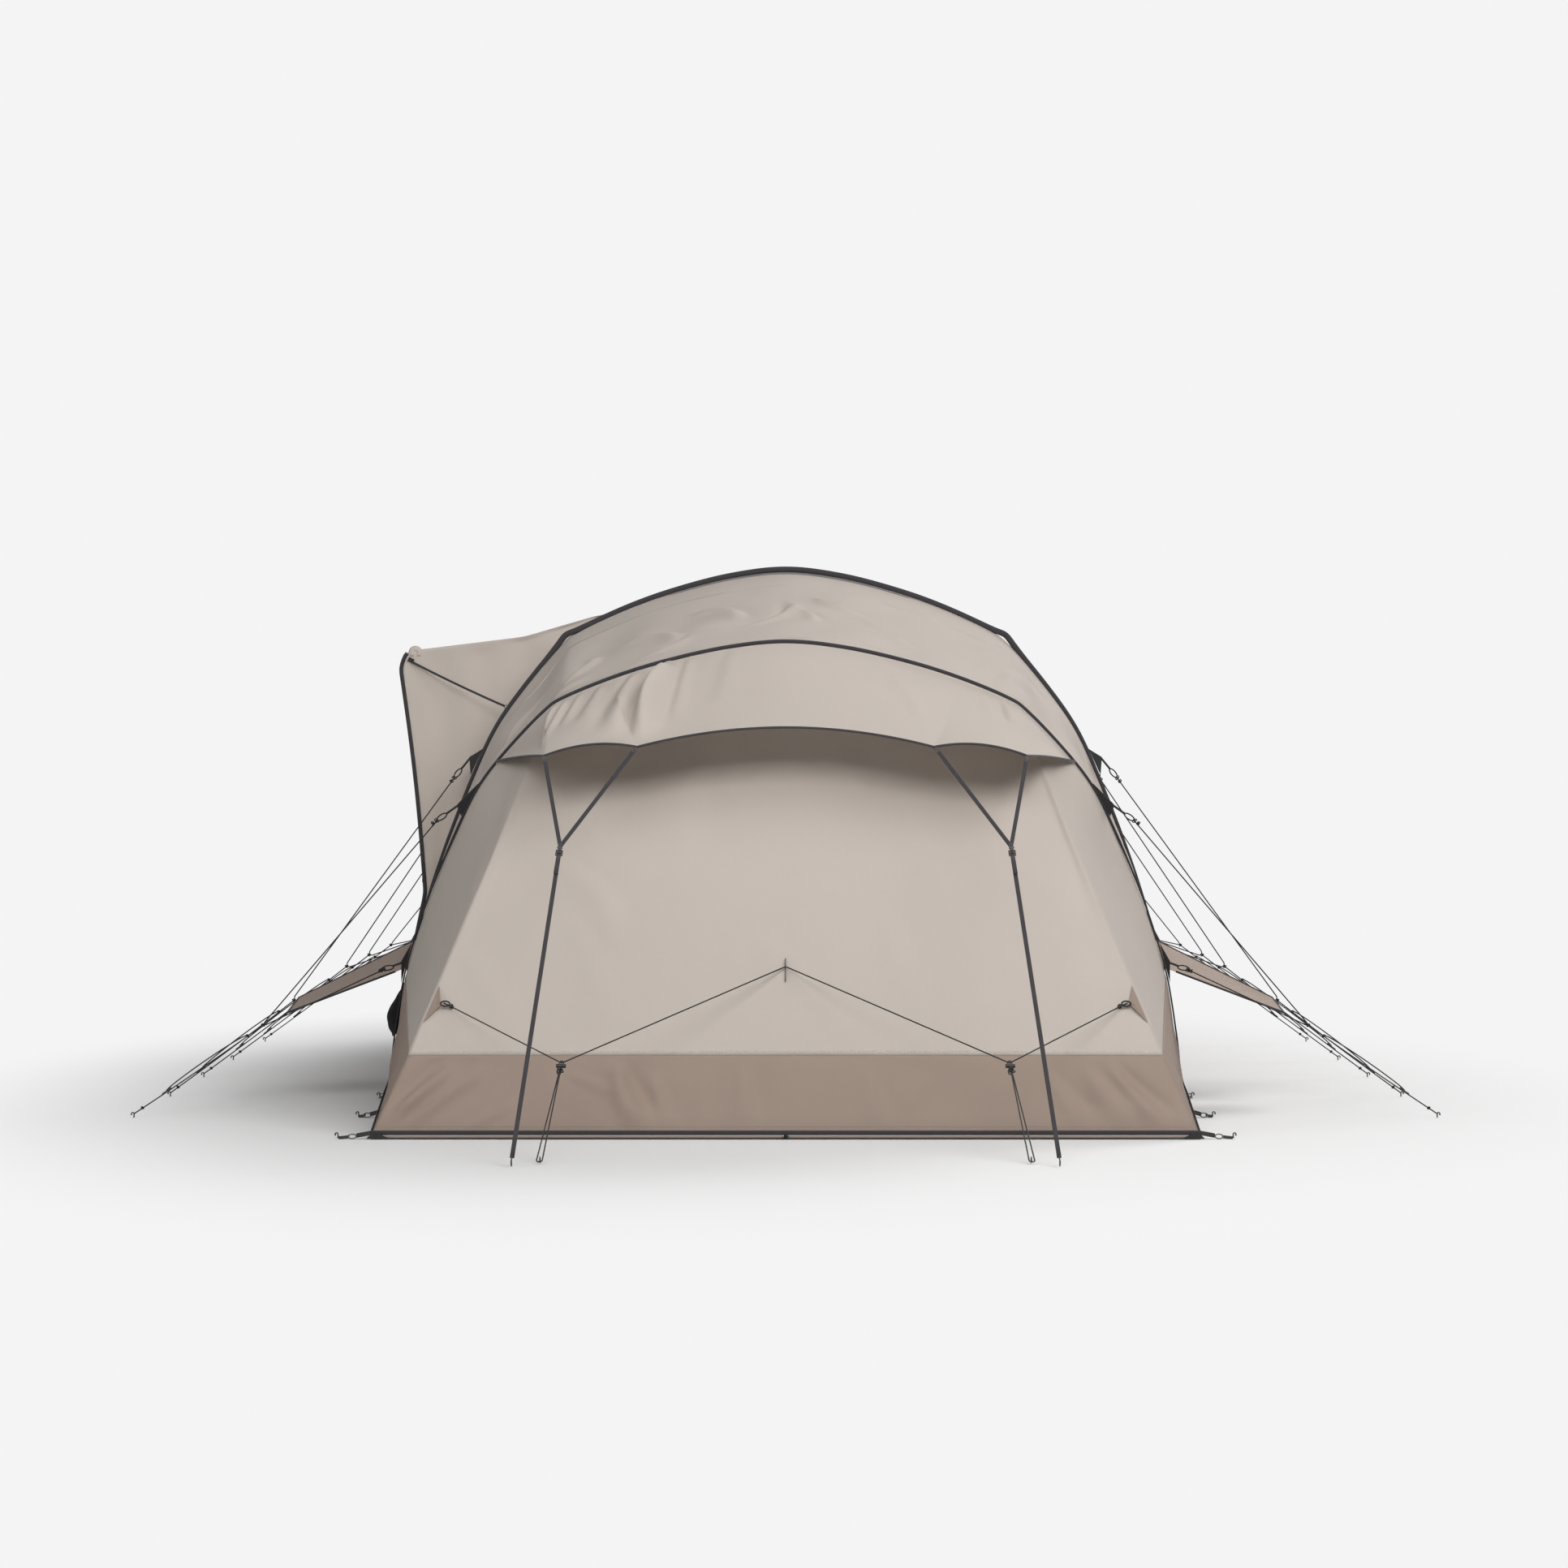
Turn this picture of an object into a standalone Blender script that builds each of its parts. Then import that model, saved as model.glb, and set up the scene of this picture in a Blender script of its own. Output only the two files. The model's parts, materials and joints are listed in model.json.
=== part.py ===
"""Inflatable tunnel tent: five air beams, sewn bays, end walls, a side porch with a door, and guy lines.

Metres, +Z up. X runs across the tent and Y along it, from the near end at low Y to the far end.
The part is drawn with Y counted from the near base edge, and one empty then carries it to its own centre.
"""

import math

import bmesh
import bpy
from mathutils import Matrix, Vector

# Overall size
HEIGHT = 2.20
FOOT_HALF_WIDTH = 1.66
END_HALF_WIDTH = 1.543
LENGTH = 5.90

# Arches: two leaning outwards at the ends and three upright between them
ARCH_PITCH = 1.033
FOOT_PITCH = 0.12
END_LEAN = math.radians(32)
END_INSET = 1.917

# One half of an arch's outline, from the ridge down to the foot, as shares of half width and height
HALF_SECTION = (
    (0.000, 1.000),
    (0.138, 0.988),
    (0.281, 0.960),
    (0.402, 0.927),
    (0.519, 0.885),
    (0.569, 0.855),
    (0.657, 0.776),
    (0.728, 0.698),
    (0.784, 0.606),
    (0.848, 0.482),
    (0.895, 0.376),
    (0.931, 0.277),
    (0.961, 0.150),
    (0.979, 0.055),
    (1.000, 0.000),
)
KNEE = 5
SKIRT_TOP = 11
SKIRT_SHARES = (0.25, 0.5, 0.75)

# Materials of the build
FABRIC = 0.004
GAP = 0.0003
SAG = 0.022
BEAM_RADIUS = 0.050
BEAM_TILT = math.radians(34)
END_BEAM_TILT = math.radians(40)
AIR_LINE_RADIUS = 0.009
AIR_LINE_X = -1.520
GROUND_THICKNESS = 0.012
FLOOR_THICKNESS = 0.009
FLOOR_RIM = 0.200

# End walls
END_SKIRT_HEIGHT = 0.306
END_SKIRT_HALF_WIDTH = 1.413
END_SKIRT_SETBACK = 0.11

# Vent hood over the near end wall
HOOD_OVERHANG = 0.20
HOOD_LOWEST = 6
HOOD_EDGE = ((0.91, 1.424), (0.559, 1.4575))
HOOD_EDGE_MIDDLE = 1.531
HOOD_SCALLOP = 0.026
HOOD_ROWS = 5
HOOD_COLUMNS = (6, 3, 3)
HOOD_STANDOFF = 0.0010
HOOD_SLOPE = math.radians(38)

# Webbing straps that hold the hood out
STRAP_WIDTH = 0.020
STRAP_THICKNESS = 0.003
STRAP_JOIN = (0.833, -0.11, 1.092)
STRAP_PEG = (0.954, -1.05)
BUCKLE = (0.028, 0.026, 0.009)
BUCKLE_DROP = 0.032

# Cords of the near end
WALL_TAB_SIDE = (1.286, 0.496)
WALL_TAB_MIDDLE = 0.632
RUNNER_PLACE = (0.8185, -0.284, 0.305)
FRONT_PEG = (0.862, -0.932)
CORD_RADIUS = 0.0025
RUNNER_RADIUS = 0.0075
RUNNER_LENGTH = 0.035

# Side guy lines, one for each arch
GUY_PEG_HALF = 2.559
GUY_PEG_ROWS = (0.905, 1.917, 2.96, 3.98, 5.22)
GUY_CORNERS = (
    (2.078, 1.03, 0.349),
    (2.068, 1.917, 0.384),
    (1.946, 2.95, 0.478),
    (1.946, 3.98, 0.478),
    (1.92, 4.95, 0.490),
)
GUY_UPPER_HEIGHTS = (1.53, 1.495, 1.495, 1.495, 1.53)
GUY_LOWER_HEIGHTS = (0.70, 0.62, 0.62, 0.62, 0.70)
UPPER_TAB = (0.090, -0.090)
LOWER_TAB = (0.070, -0.030)
KNOT = 0.016
SLIDER = (0.016, 0.045, 0.010)
SLIDER_SHARE = 0.26
SLIDER_BORE = 0.0034

# Pegs, drawn from the ground up
PEG_RADIUS = 0.003
PEG_HEIGHT = 0.036
PEG_HOOK = 0.016

# Side vent flaps, pitched out between the legs of the first two arches
FLAP_REACH = 0.487
FLAP_NEAR_DROP = 0.185
FLAP_FAR_DROP = 0.240
FLAP_HEIGHT = 0.655
FLAP_MARGIN = 0.018

# Side porch and door on the left
PORCH_INSET = 0.150
PORCH_ROOF = ((0.80, 1.995), (1.10, 1.925), (1.600, 1.872))
PORCH_FRONT = ((1.620, 1.790), (1.515, 0.850))
PORCH_KNEES = (0.61, 0.33, 0.15)
PORCH_BOTTOM = 0.070
PORCH_STANDOFF = 0.020
DOOR_MARGIN = 0.060
DOOR_TOP = 1.700
DOOR_SILL = 0.120
DOOR_CLEARANCE = 0.004
ZIP_SLIDER = (0.010, 0.012, 0.028)
ZIP_PARK = 0.900

# Inflation valve low on the left, under a fabric pouch
VALVE_Y = 1.70
VALVE_Z = 0.360
VALVE_RADIUS = 0.020
VALVE_HEIGHT = 0.010
CAP_RADIUS = 0.023
CAP_THICKNESS = 0.009
POUCH_PROFILE = ((0.490, 0.001), (0.430, 0.026), (0.364, 0.050), (0.310, 0.036), (0.275, 0.012))
POUCH_WIDTH = 0.150
POUCH_COLUMNS = 6

# The footprint's middle along the tent, from the strap pegs to the far base edge
ORIGIN_Y = (LENGTH + STRAP_PEG[1] - PEG_HOOK - PEG_RADIUS) / 2

FLOOR = GROUND_THICKNESS + GAP


def remove_all():
    for thing in list(bpy.data.objects):
        bpy.data.objects.remove(thing, do_unlink=True)


def collection(name):
    made = bpy.data.collections.new(name)
    bpy.context.scene.collection.children.link(made)
    return made


remove_all()
PARTS = collection("inflatable_tent")
CUTTERS = collection("cutters")
TENT_FRAME = bpy.data.objects.new("tent_frame", None)
TENT_FRAME.location = (0, -ORIGIN_Y, 0)
PARTS.objects.link(TENT_FRAME)


def material(name, color, roughness, metallic=0.0):
    made = bpy.data.materials.new(name)
    made.use_nodes = True
    shader = made.node_tree.nodes["Principled BSDF"]
    shader.inputs["Base Color"].default_value = (*color, 1.0)
    shader.inputs["Roughness"].default_value = roughness
    shader.inputs["Metallic"].default_value = metallic
    return made


BEIGE = material("beige_canvas", (0.56, 0.52, 0.46), 0.9)
BROWN = material("brown_canvas", (0.30, 0.23, 0.18), 0.9)
BLACK_FABRIC = material("black_fabric", (0.022, 0.021, 0.022), 0.85)
WEBBING = material("charcoal_webbing", (0.045, 0.042, 0.045), 0.8)
CORD = material("black_cord", (0.015, 0.015, 0.016), 0.7)
PLASTIC = material("black_plastic", (0.020, 0.020, 0.022), 0.45)
STEEL = material("dark_steel", (0.12, 0.12, 0.13), 0.4, 0.9)
BLADDER = material("beam_sleeve", (0.20, 0.20, 0.20), 0.75)
GROUND = material("ground_sheet", (0.16, 0.15, 0.14), 0.8)


def own_material(base, name):
    made = base.copy()
    made.name = name
    return made


def place(name, mesh, base, origin=(0, 0, 0)):
    """A named sub-part with its origin on the given point."""
    mesh.transform(Matrix.Translation(-Vector(origin)))
    mesh.name = name
    part = bpy.data.objects.new(name, mesh)
    part.location = origin
    part.parent = TENT_FRAME
    mesh.materials.clear()
    mesh.materials.append(own_material(base, name + "_finish"))
    PARTS.objects.link(part)
    return part


def guide(name, mesh):
    """A shape that only cuts or joins others."""
    part = bpy.data.objects.new(name, mesh)
    part.parent = TENT_FRAME
    part.hide_render = True
    part.display_type = "WIRE"
    CUTTERS.objects.link(part)
    return part


def combine(part, other, operation):
    step = part.modifiers.new(operation.lower(), "BOOLEAN")
    step.operation = operation
    step.solver = "EXACT"
    step.object = other


def mesh_from(work, name="shape"):
    bmesh.ops.remove_doubles(work, verts=work.verts, dist=0.00002)
    bmesh.ops.recalc_face_normals(work, faces=work.faces)
    made = bpy.data.meshes.new(name)
    work.to_mesh(made)
    work.free()
    return made


def shell(outer, inner):
    """A closed sheet between two grids of points, row by row."""
    work = bmesh.new()
    rows, columns = len(outer), len(outer[0])
    faces = [[[work.verts.new(p) for p in row] for row in grid] for grid in (outer, inner)]

    def quad(corners):
        if len({tuple(round(x, 6) for x in c.co) for c in corners}) == 4:
            work.faces.new(corners)
            return
        left = []
        for corner in corners:
            if not any((corner.co - other.co).length < 0.00001 for other in left):
                left.append(corner)
        if len(left) == 3:
            work.faces.new(left)

    for grid in faces:
        for r in range(rows - 1):
            for c in range(columns - 1):
                quad([grid[r][c], grid[r][c + 1], grid[r + 1][c + 1], grid[r + 1][c]])
    top, low = faces
    for r in range(rows - 1):
        for c in (0, columns - 1):
            quad([top[r][c], top[r + 1][c], low[r + 1][c], low[r][c]])
    for c in range(columns - 1):
        for r in (0, rows - 1):
            quad([top[r][c], top[r][c + 1], low[r][c + 1], low[r][c]])
    return mesh_from(work)


def prism(outline, low_y, high_y):
    """A closed outline in X and Z, drawn out along Y."""
    work = bmesh.new()
    ends = [[work.verts.new((x, y, z)) for x, z in outline] for y in (low_y, high_y)]
    for end in ends:
        work.faces.new(end)
    count = len(outline)
    for i in range(count):
        work.faces.new([ends[0][i], ends[0][(i + 1) % count], ends[1][(i + 1) % count], ends[1][i]])
    return mesh_from(work)


def block(size, place_matrix):
    work = bmesh.new()
    bmesh.ops.create_cube(work, size=1.0)
    bmesh.ops.scale(work, vec=size, verts=work.verts)
    work.transform(place_matrix)
    return mesh_from(work)


def rod(radius, depth, place_matrix, sides=16):
    work = bmesh.new()
    bmesh.ops.create_cone(
        work, cap_ends=True, segments=sides, radius1=radius, radius2=radius, depth=depth
    )
    work.transform(place_matrix)
    return mesh_from(work)


def tube(points, radius, resolution=2):
    """A round tube along straight runs between the points, with closed ends."""
    line = bpy.data.curves.new("run", "CURVE")
    line.dimensions = "3D"
    line.bevel_depth = radius
    line.bevel_resolution = resolution
    line.use_fill_caps = True
    spline = line.splines.new("POLY")
    spline.points.add(len(points) - 1)
    for spot, point in zip(spline.points, points):
        spot.co = (*point, 1.0)
    holder = bpy.data.objects.new("run", line)
    bpy.context.scene.collection.objects.link(holder)
    bpy.context.view_layer.update()
    evaluated = holder.evaluated_get(bpy.context.evaluated_depsgraph_get())
    made = bpy.data.meshes.new_from_object(evaluated)
    bpy.data.objects.remove(holder, do_unlink=True)
    work = bmesh.new()
    work.from_mesh(made)
    return mesh_from(work)


def knot_key(point):
    return tuple(round(x, 5) for x in point)


def branched(paths, sides=8):
    """One closed cord through paths of (points, radius), joined by a knot where their ends meet."""
    work = bmesh.new()
    knots = {}
    lengths = {}
    for points, radius in paths:
        for end, beside in ((0, 1), (-1, -2)):
            step = Vector(points[beside]) - Vector(points[end])
            lengths.setdefault(knot_key(points[end]), []).append(step.length)
    for points, radius in paths:
        points = [Vector(p) for p in points]
        keys = [knot_key(points[i]) for i in (0, -1)]
        met = [len(lengths[key]) > 1 for key in keys]
        back = [min(KNOT, 0.55 * min(lengths[key])) for key in keys]
        steps = [(b - a).normalized() for a, b in zip(points, points[1:])]
        if met[0]:
            points[0] = points[0] + steps[0] * back[0]
        if met[1]:
            points[-1] = points[-1] - steps[-1] * back[1]
        ways = [steps[0]] + [(a + b).normalized() for a, b in zip(steps, steps[1:])] + [steps[-1]]
        side = steps[0].orthogonal().normalized()
        rings = []
        for point, way in zip(points, ways):
            side = (side - way * side.dot(way)).normalized()
            other = way.cross(side)
            ring = []
            for i in range(sides):
                angle = 2 * math.pi * i / sides
                spot = point + (side * math.cos(angle) + other * math.sin(angle)) * radius
                ring.append(work.verts.new(spot))
            rings.append(ring)
        for low, high in zip(rings, rings[1:]):
            for i in range(sides):
                j = (i + 1) % sides
                work.faces.new([low[i], low[j], high[j], high[i]])
        for ring, key, joined in zip((rings[0], rings[-1]), keys, met):
            if joined:
                knots.setdefault(key, []).append(ring)
            else:
                work.faces.new(ring)
    for rings in knots.values():
        hull = bmesh.ops.convex_hull(work, input=[v for ring in rings for v in ring])
        made = [f for f in hull["geom"] if isinstance(f, bmesh.types.BMFace)]
        caps = [f for f in made if any(all(v in ring for v in f.verts) for ring in rings)]
        bmesh.ops.delete(work, geom=caps, context="FACES")
    return mesh_from(work)


def along(start, end):
    """A matrix whose Y axis runs from start to end, placed midway between them."""
    start, end = Vector(start), Vector(end)
    way = end - start
    turn = way.to_track_quat("Y", "Z").to_matrix().to_4x4()
    return Matrix.Translation((start + end) / 2) @ turn


def half_points():
    return [(FOOT_HALF_WIDTH * x, HEIGHT * z) for x, z in HALF_SECTION]


def section(offset=0.0, lowest=None):
    """An arch's outline from the left foot over to the right foot, set inwards by the offset.

    lowest is the last index of the half outline that is kept, counted from the ridge.
    """
    half = [Vector((x, z)) for x, z in half_points()]
    count = len(half)
    inset = []
    for i, point in enumerate(half):
        before = half[i - 1] if i else Vector((-half[1].x, half[1].y))
        after = half[i + 1] if i + 1 < count else point + (point - half[i - 1])
        one = (point - before).normalized()
        two = (after - point).normalized()
        inward = Vector((one.y + two.y, -one.x - two.x)).normalized()
        stretch = 1 / max(0.5, inward.dot(Vector((one.y, -one.x))))
        inset.append(point + inward * offset * stretch)
    inset[-1].y = FLOOR
    kept = inset[: (lowest if lowest is not None else count - 1) + 1]
    left = [(-p.x, p.y) for p in reversed(kept)]
    right = [(p.x, p.y) for p in kept[1:]]
    return left + right


def arch_foot(arch):
    """Where an arch stands, counted from the near base edge."""
    upright = END_INSET + ARCH_PITCH * (arch - 1)
    if arch == 0:
        return END_INSET - FOOT_PITCH
    if arch == 4:
        return END_INSET + 2 * ARCH_PITCH + FOOT_PITCH
    return upright


def arch_lean(arch):
    return {0: END_LEAN, 4: -END_LEAN}.get(arch, 0.0)


def on_arch(arch, x, z):
    """A point of an arch's own upright outline, moved to where that arch leans."""
    lean = arch_lean(arch)
    rise = z - FLOOR
    return Vector((x, arch_foot(arch) - rise * math.sin(lean), FLOOR + rise * math.cos(lean)))


def arch_line(arch, offset=0.0, lowest=None):
    return [on_arch(arch, x, max(z, FLOOR)) for x, z in section(offset, lowest)]


def contour_x(z, offset=0.0):
    """The half width of an upright arch's outline at a height."""
    line = [(x, h) for x, h in section(offset) if x > 0]
    for (x0, z0), (x1, z1) in zip(line, line[1:]):
        if z1 <= z <= z0:
            return x0 + (x1 - x0) * (z0 - z) / (z0 - z1)
    return line[-1][0]


def between(first_line, second_line, share, margin):
    """Points between two lines, a margin short of either end."""
    mixed = []
    for a, b in zip(first_line, second_line):
        trim = margin / max((b - a).length, 0.001)
        mixed.append(a.lerp(b, trim + (1 - 2 * trim) * share))
    return mixed


def bay_rows(arch, offset, rows=4, margin=GAP, lowest=SKIRT_TOP):
    """The rows of points of a bay's fabric, which dips between its arches, most of all at the ridge."""
    made = []
    for row in range(rows + 1):
        share = row / rows
        plain, dipped = [
            between(*[arch_line(k, inset, lowest) for k in (arch, arch + 1)], share, margin)
            for inset in (offset, offset + SAG)
        ]
        middle = len(plain) // 2
        line = []
        for i, (a, b) in enumerate(zip(plain, dipped)):
            slack = max(0.0, 1 - abs(i - middle) / SKIRT_TOP)
            line.append(a.lerp(b, slack * 4 * share * (1 - share)))
        made.append(line)
    return made


def trimmed(rows, raise_ends):
    """Lifts the lowest points of each row, so that a seam's gap stays open."""
    for row in rows:
        for i, neighbour in ((0, 1), (-1, -2)):
            way = (row[neighbour] - row[i]).normalized()
            row[i] = row[i] + way * raise_ends
    return rows


def solid_of(rows):
    """A closed solid through rows that each run from the left foot over to the right foot."""
    work = bmesh.new()
    grid = [[work.verts.new(p) for p in row] for row in rows]
    count = len(grid[0])
    for low, high in zip(grid, grid[1:]):
        for i in range(count):
            work.faces.new([low[i], low[(i + 1) % count], high[(i + 1) % count], high[i]])
    work.faces.new(grid[0])
    work.faces.new(grid[-1])
    return mesh_from(work)


def slab(outline, low_z, high_z):
    work = bmesh.new()
    ends = [[work.verts.new((x, y, z)) for x, y in outline] for z in (low_z, high_z)]
    for end in ends:
        work.faces.new(end)
    count = len(outline)
    for i in range(count):
        work.faces.new([ends[0][i], ends[0][(i + 1) % count], ends[1][(i + 1) % count], ends[1][i]])
    return mesh_from(work)


def flipped(rows):
    """The same rows at the other end of the tent."""
    return [[Vector((p.x, LENGTH - p.y, p.z)) for p in row] for row in rows]


def below_floor():
    size = (4 * FOOT_HALF_WIDTH, 2 * LENGTH, 1.0)
    return guide("below_floor", block(size, Matrix.Translation((0, LENGTH / 2, FLOOR - 0.5))))


def build_beams(cutter):
    for arch in range(5):
        tilt = END_BEAM_TILT if arch in (0, 4) else BEAM_TILT
        line = arch_line(arch, (BEAM_RADIUS + FABRIC + GAP) / math.cos(tilt))
        for end, neighbour in ((0, 1), (-1, -2)):
            line[end] = line[end] + (line[end] - line[neighbour]).normalized() * BEAM_RADIUS
        beam = place(f"air_beam_{arch + 1}", tube(line, BEAM_RADIUS), BLADDER)
        combine(beam, cutter, "DIFFERENCE")


def build_air_line():
    x = AIR_LINE_X
    z = FLOOR + AIR_LINE_RADIUS
    ends = [(x, arch_foot(arch), z) for arch in (0, 4)]
    place("air_line", tube(ends, AIR_LINE_RADIUS), PLASTIC)


def build_bays(porch_space):
    for arch in range(4):
        outer = trimmed(bay_rows(arch, 0.0), GAP)
        inner = trimmed(bay_rows(arch, FABRIC), GAP)
        bay = place(f"bay_panel_{arch + 1}", shell(outer, inner), BEIGE)
        if arch == 1:
            combine(bay, porch_space, "DIFFERENCE")


def corner_edge(count, back):
    """The near right corner's edge, from the side skirt's top seam down to the floor."""
    heights = [z for x, z in section()[-count:]]
    top, low = heights[0], heights[-1]
    made = []
    for z in heights:
        share = (z - low) / (top - low)
        made.append(
            Vector(
                (
                    END_HALF_WIDTH + (END_SKIRT_HALF_WIDTH - END_HALF_WIDTH) * share,
                    END_SKIRT_SETBACK * share + back,
                    FLOOR + (END_SKIRT_HEIGHT - FLOOR) * share,
                )
            )
        )
    return made


def skirt_lines(offset, count):
    """The skirt's lines from its top seam to the floor, on each arch and between two of them."""
    legs = [arch_line(arch, offset)[-count:] for arch in range(5)]
    made = []
    for low, high in zip(legs, legs[1:]):
        made += [low] + [between(low, high, share, 0.0) for share in SKIRT_SHARES]
    return made + [legs[-1]]


def build_side_skirts(porch_space):
    count = len(HALF_SECTION) - SKIRT_TOP
    behind = FABRIC + 2 * GAP
    corner = corner_edge(count, behind)
    corner_inside = [p - Vector((FABRIC, 0, 0)) for p in corner]
    outer = [corner] + skirt_lines(0.0, count) + flipped([corner])
    inner = [corner_inside] + skirt_lines(FABRIC, count) + flipped([corner_inside])
    for side, name in ((-1, "side_skirt_left"), (1, "side_skirt_right")):
        grids = [[[Vector((side * p.x, p.y, p.z)) for p in row] for row in grid] for grid in (outer, inner)]
        skirt = place(name, shell(*grids), BROWN)
        if side < 0:
            combine(skirt, porch_space, "DIFFERENCE")


def end_wall_grid(inset):
    """The near end wall with the gussets that join it to the first arch's legs."""
    arc = arch_line(0, inset, KNEE)
    over = arch_line(0, inset, SKIRT_TOP)
    forward = Vector((0, -2 * GAP, 0))
    rows = SKIRT_TOP - KNEE
    made = []
    for row in range(rows + 1):
        share = row / rows
        line = []
        for point in arc:
            low = Vector(
                (
                    point.x / arc[-1].x * END_SKIRT_HALF_WIDTH,
                    END_SKIRT_SETBACK + inset,
                    END_SKIRT_HEIGHT + 2 * GAP,
                )
            )
            line.append(low.lerp(point + forward, share))
        made.append([over[row] + forward] + line + [over[-1 - row] + forward])
    return lifted_legs(made)


def lifted_legs(rows):
    """Lifts the legs' lowest points along the legs, clear of the side skirt's seam."""
    for column in (0, -1):
        way = (rows[1][column] - rows[0][column]).normalized()
        rows[0][column] = rows[0][column] + way * 2 * GAP
    return rows


def end_skirt_grid(inset):
    low = (END_HALF_WIDTH, inset, FLOOR)
    high = (END_SKIRT_HALF_WIDTH, END_SKIRT_SETBACK + inset, END_SKIRT_HEIGHT - GAP)
    shares = (-1.0, -0.5, 0.0, 0.5, 1.0)
    return [[Vector((x * share, y, z)) for share in shares] for x, y, z in (low, high)]


def build_end_walls():
    for name, turn in (("near", list), ("far", flipped)):
        wall = shell(turn(end_wall_grid(0.0)), turn(end_wall_grid(FABRIC)))
        place(f"{name}_end_wall", wall, BEIGE)
        skirt = shell(turn(end_skirt_grid(0.0)), turn(end_skirt_grid(FABRIC)))
        place(f"{name}_end_skirt", skirt, BROWN)


def line_at(line, share):
    """The point at a share of a line's own points."""
    spot = share * (len(line) - 1)
    i = min(int(spot), len(line) - 2)
    return line[i].lerp(line[i + 1], spot - i)


def hood_grid(lift):
    """The hood's rows, from its seam on the first arch down to the scalloped front edge."""
    arc = arch_line(0, -HOOD_STANDOFF - lift, HOOD_LOWEST)
    up = Vector((0, -math.sin(HOOD_SLOPE), math.cos(HOOD_SLOPE))) * lift
    middle, inner, outer = HOOD_COLUMNS
    (outer_x, outer_z), (inner_x, inner_z) = HOOD_EDGE
    half = middle + inner + outer
    end = arc[-1]
    columns = []
    for step in range(half + 1):
        root = line_at(arc, 0.5 + 0.5 * step / half)
        if step <= middle:
            share = step / middle
            z = HOOD_EDGE_MIDDLE + (inner_z - HOOD_EDGE_MIDDLE) * share**2
            front = Vector((inner_x * share, HOOD_OVERHANG, z)) + up
        elif step <= middle + inner:
            share = (step - middle) / inner
            arched = HOOD_SCALLOP * 4 * share * (1 - share)
            place_x = inner_x + (outer_x - inner_x) * share
            place_z = inner_z + (outer_z - inner_z) * share + arched
            front = Vector((place_x, HOOD_OVERHANG, place_z)) + up
        else:
            share = (step - middle - inner) / outer
            arched = HOOD_SCALLOP * share * (1 - share)
            front = (Vector((outer_x, HOOD_OVERHANG, outer_z)) + up).lerp(end, share)
            front.z += arched
        columns.append([root.lerp(front, row / HOOD_ROWS) for row in range(HOOD_ROWS + 1)])
    rows = []
    for row in range(HOOD_ROWS + 1):
        right = [column[row] for column in columns]
        rows.append([Vector((-p.x, p.y, p.z)) for p in reversed(right[1:])] + right)
    return rows


def build_hood():
    place("vent_hood", shell(hood_grid(FABRIC), hood_grid(0.0)), BEIGE)


def peg_paths(spot, out):
    """A peg's head above the ground: a short stem with a hook that points outwards."""
    hook = Vector(out) * PEG_HOOK
    top = Vector((spot.x, spot.y, PEG_HEIGHT))
    over = [spot, top, top + hook, top + hook - Vector((0, 0, PEG_HOOK / 2))]
    return [([spot, (spot.x, spot.y, 0)], PEG_RADIUS), (over, PEG_RADIUS)]


def strip(start, end):
    length = (Vector(end) - Vector(start)).length
    return block((STRAP_WIDTH, length, STRAP_THICKNESS), along(start, end))


def build_straps():
    for side, word in ((-1, "left"), (1, "right")):
        join = Vector((side * STRAP_JOIN[0], STRAP_JOIN[1], STRAP_JOIN[2]))
        peg = Vector((side * STRAP_PEG[0], STRAP_PEG[1], PEG_HEIGHT / 2))
        down = (peg - join).normalized()
        strap = place(f"hood_strap_{word}", strip(join - down * STRAP_WIDTH / 2, peg), WEBBING)
        for number, (x, z) in enumerate(HOOD_EDGE):
            top = Vector((side * x, HOOD_OVERHANG, z))
            way = (join - top).normalized()
            start = top + way * (STRAP_THICKNESS / 2 + GAP)
            arm = strip(start, join + way * STRAP_THICKNESS)
            combine(strap, guide(f"strap_arm_{word}_{number}", arm), "UNION")
        hook = guide(f"strap_hook_{word}", branched(peg_paths(peg, (0, -1, 0))))
        combine(strap, hook, "UNION")
        spot = join + down * BUCKLE_DROP
        frame = along(spot - down, spot + down)
        buckle_mesh = block(BUCKLE, frame)
        buckle_mesh.name = "buckle"
        buckle = place(f"hood_buckle_{word}", buckle_mesh, PLASTIC, spot)
        slot = (STRAP_WIDTH + 4 * GAP, 2 * BUCKLE[1], STRAP_THICKNESS + 4 * GAP)
        combine(buckle, guide(f"buckle_slot_{word}", block(slot, frame)), "DIFFERENCE")


def wall_y(x, z):
    """How far back the near end wall's outer face is at a place across and up."""
    arc = arch_line(0, 0.0, KNEE)
    spread = abs(x) / END_SKIRT_HALF_WIDTH
    for _ in range(12):
        top = line_at(arc, 0.5 + 0.5 * min(spread, 1.0))
        share = (z - END_SKIRT_HEIGHT) / (top.z - END_SKIRT_HEIGHT)
        width = END_SKIRT_HALF_WIDTH + (arc[-1].x - END_SKIRT_HALF_WIDTH) * share
        spread = abs(x) / width
    return END_SKIRT_SETBACK + (top.y - END_SKIRT_SETBACK) * share


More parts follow.
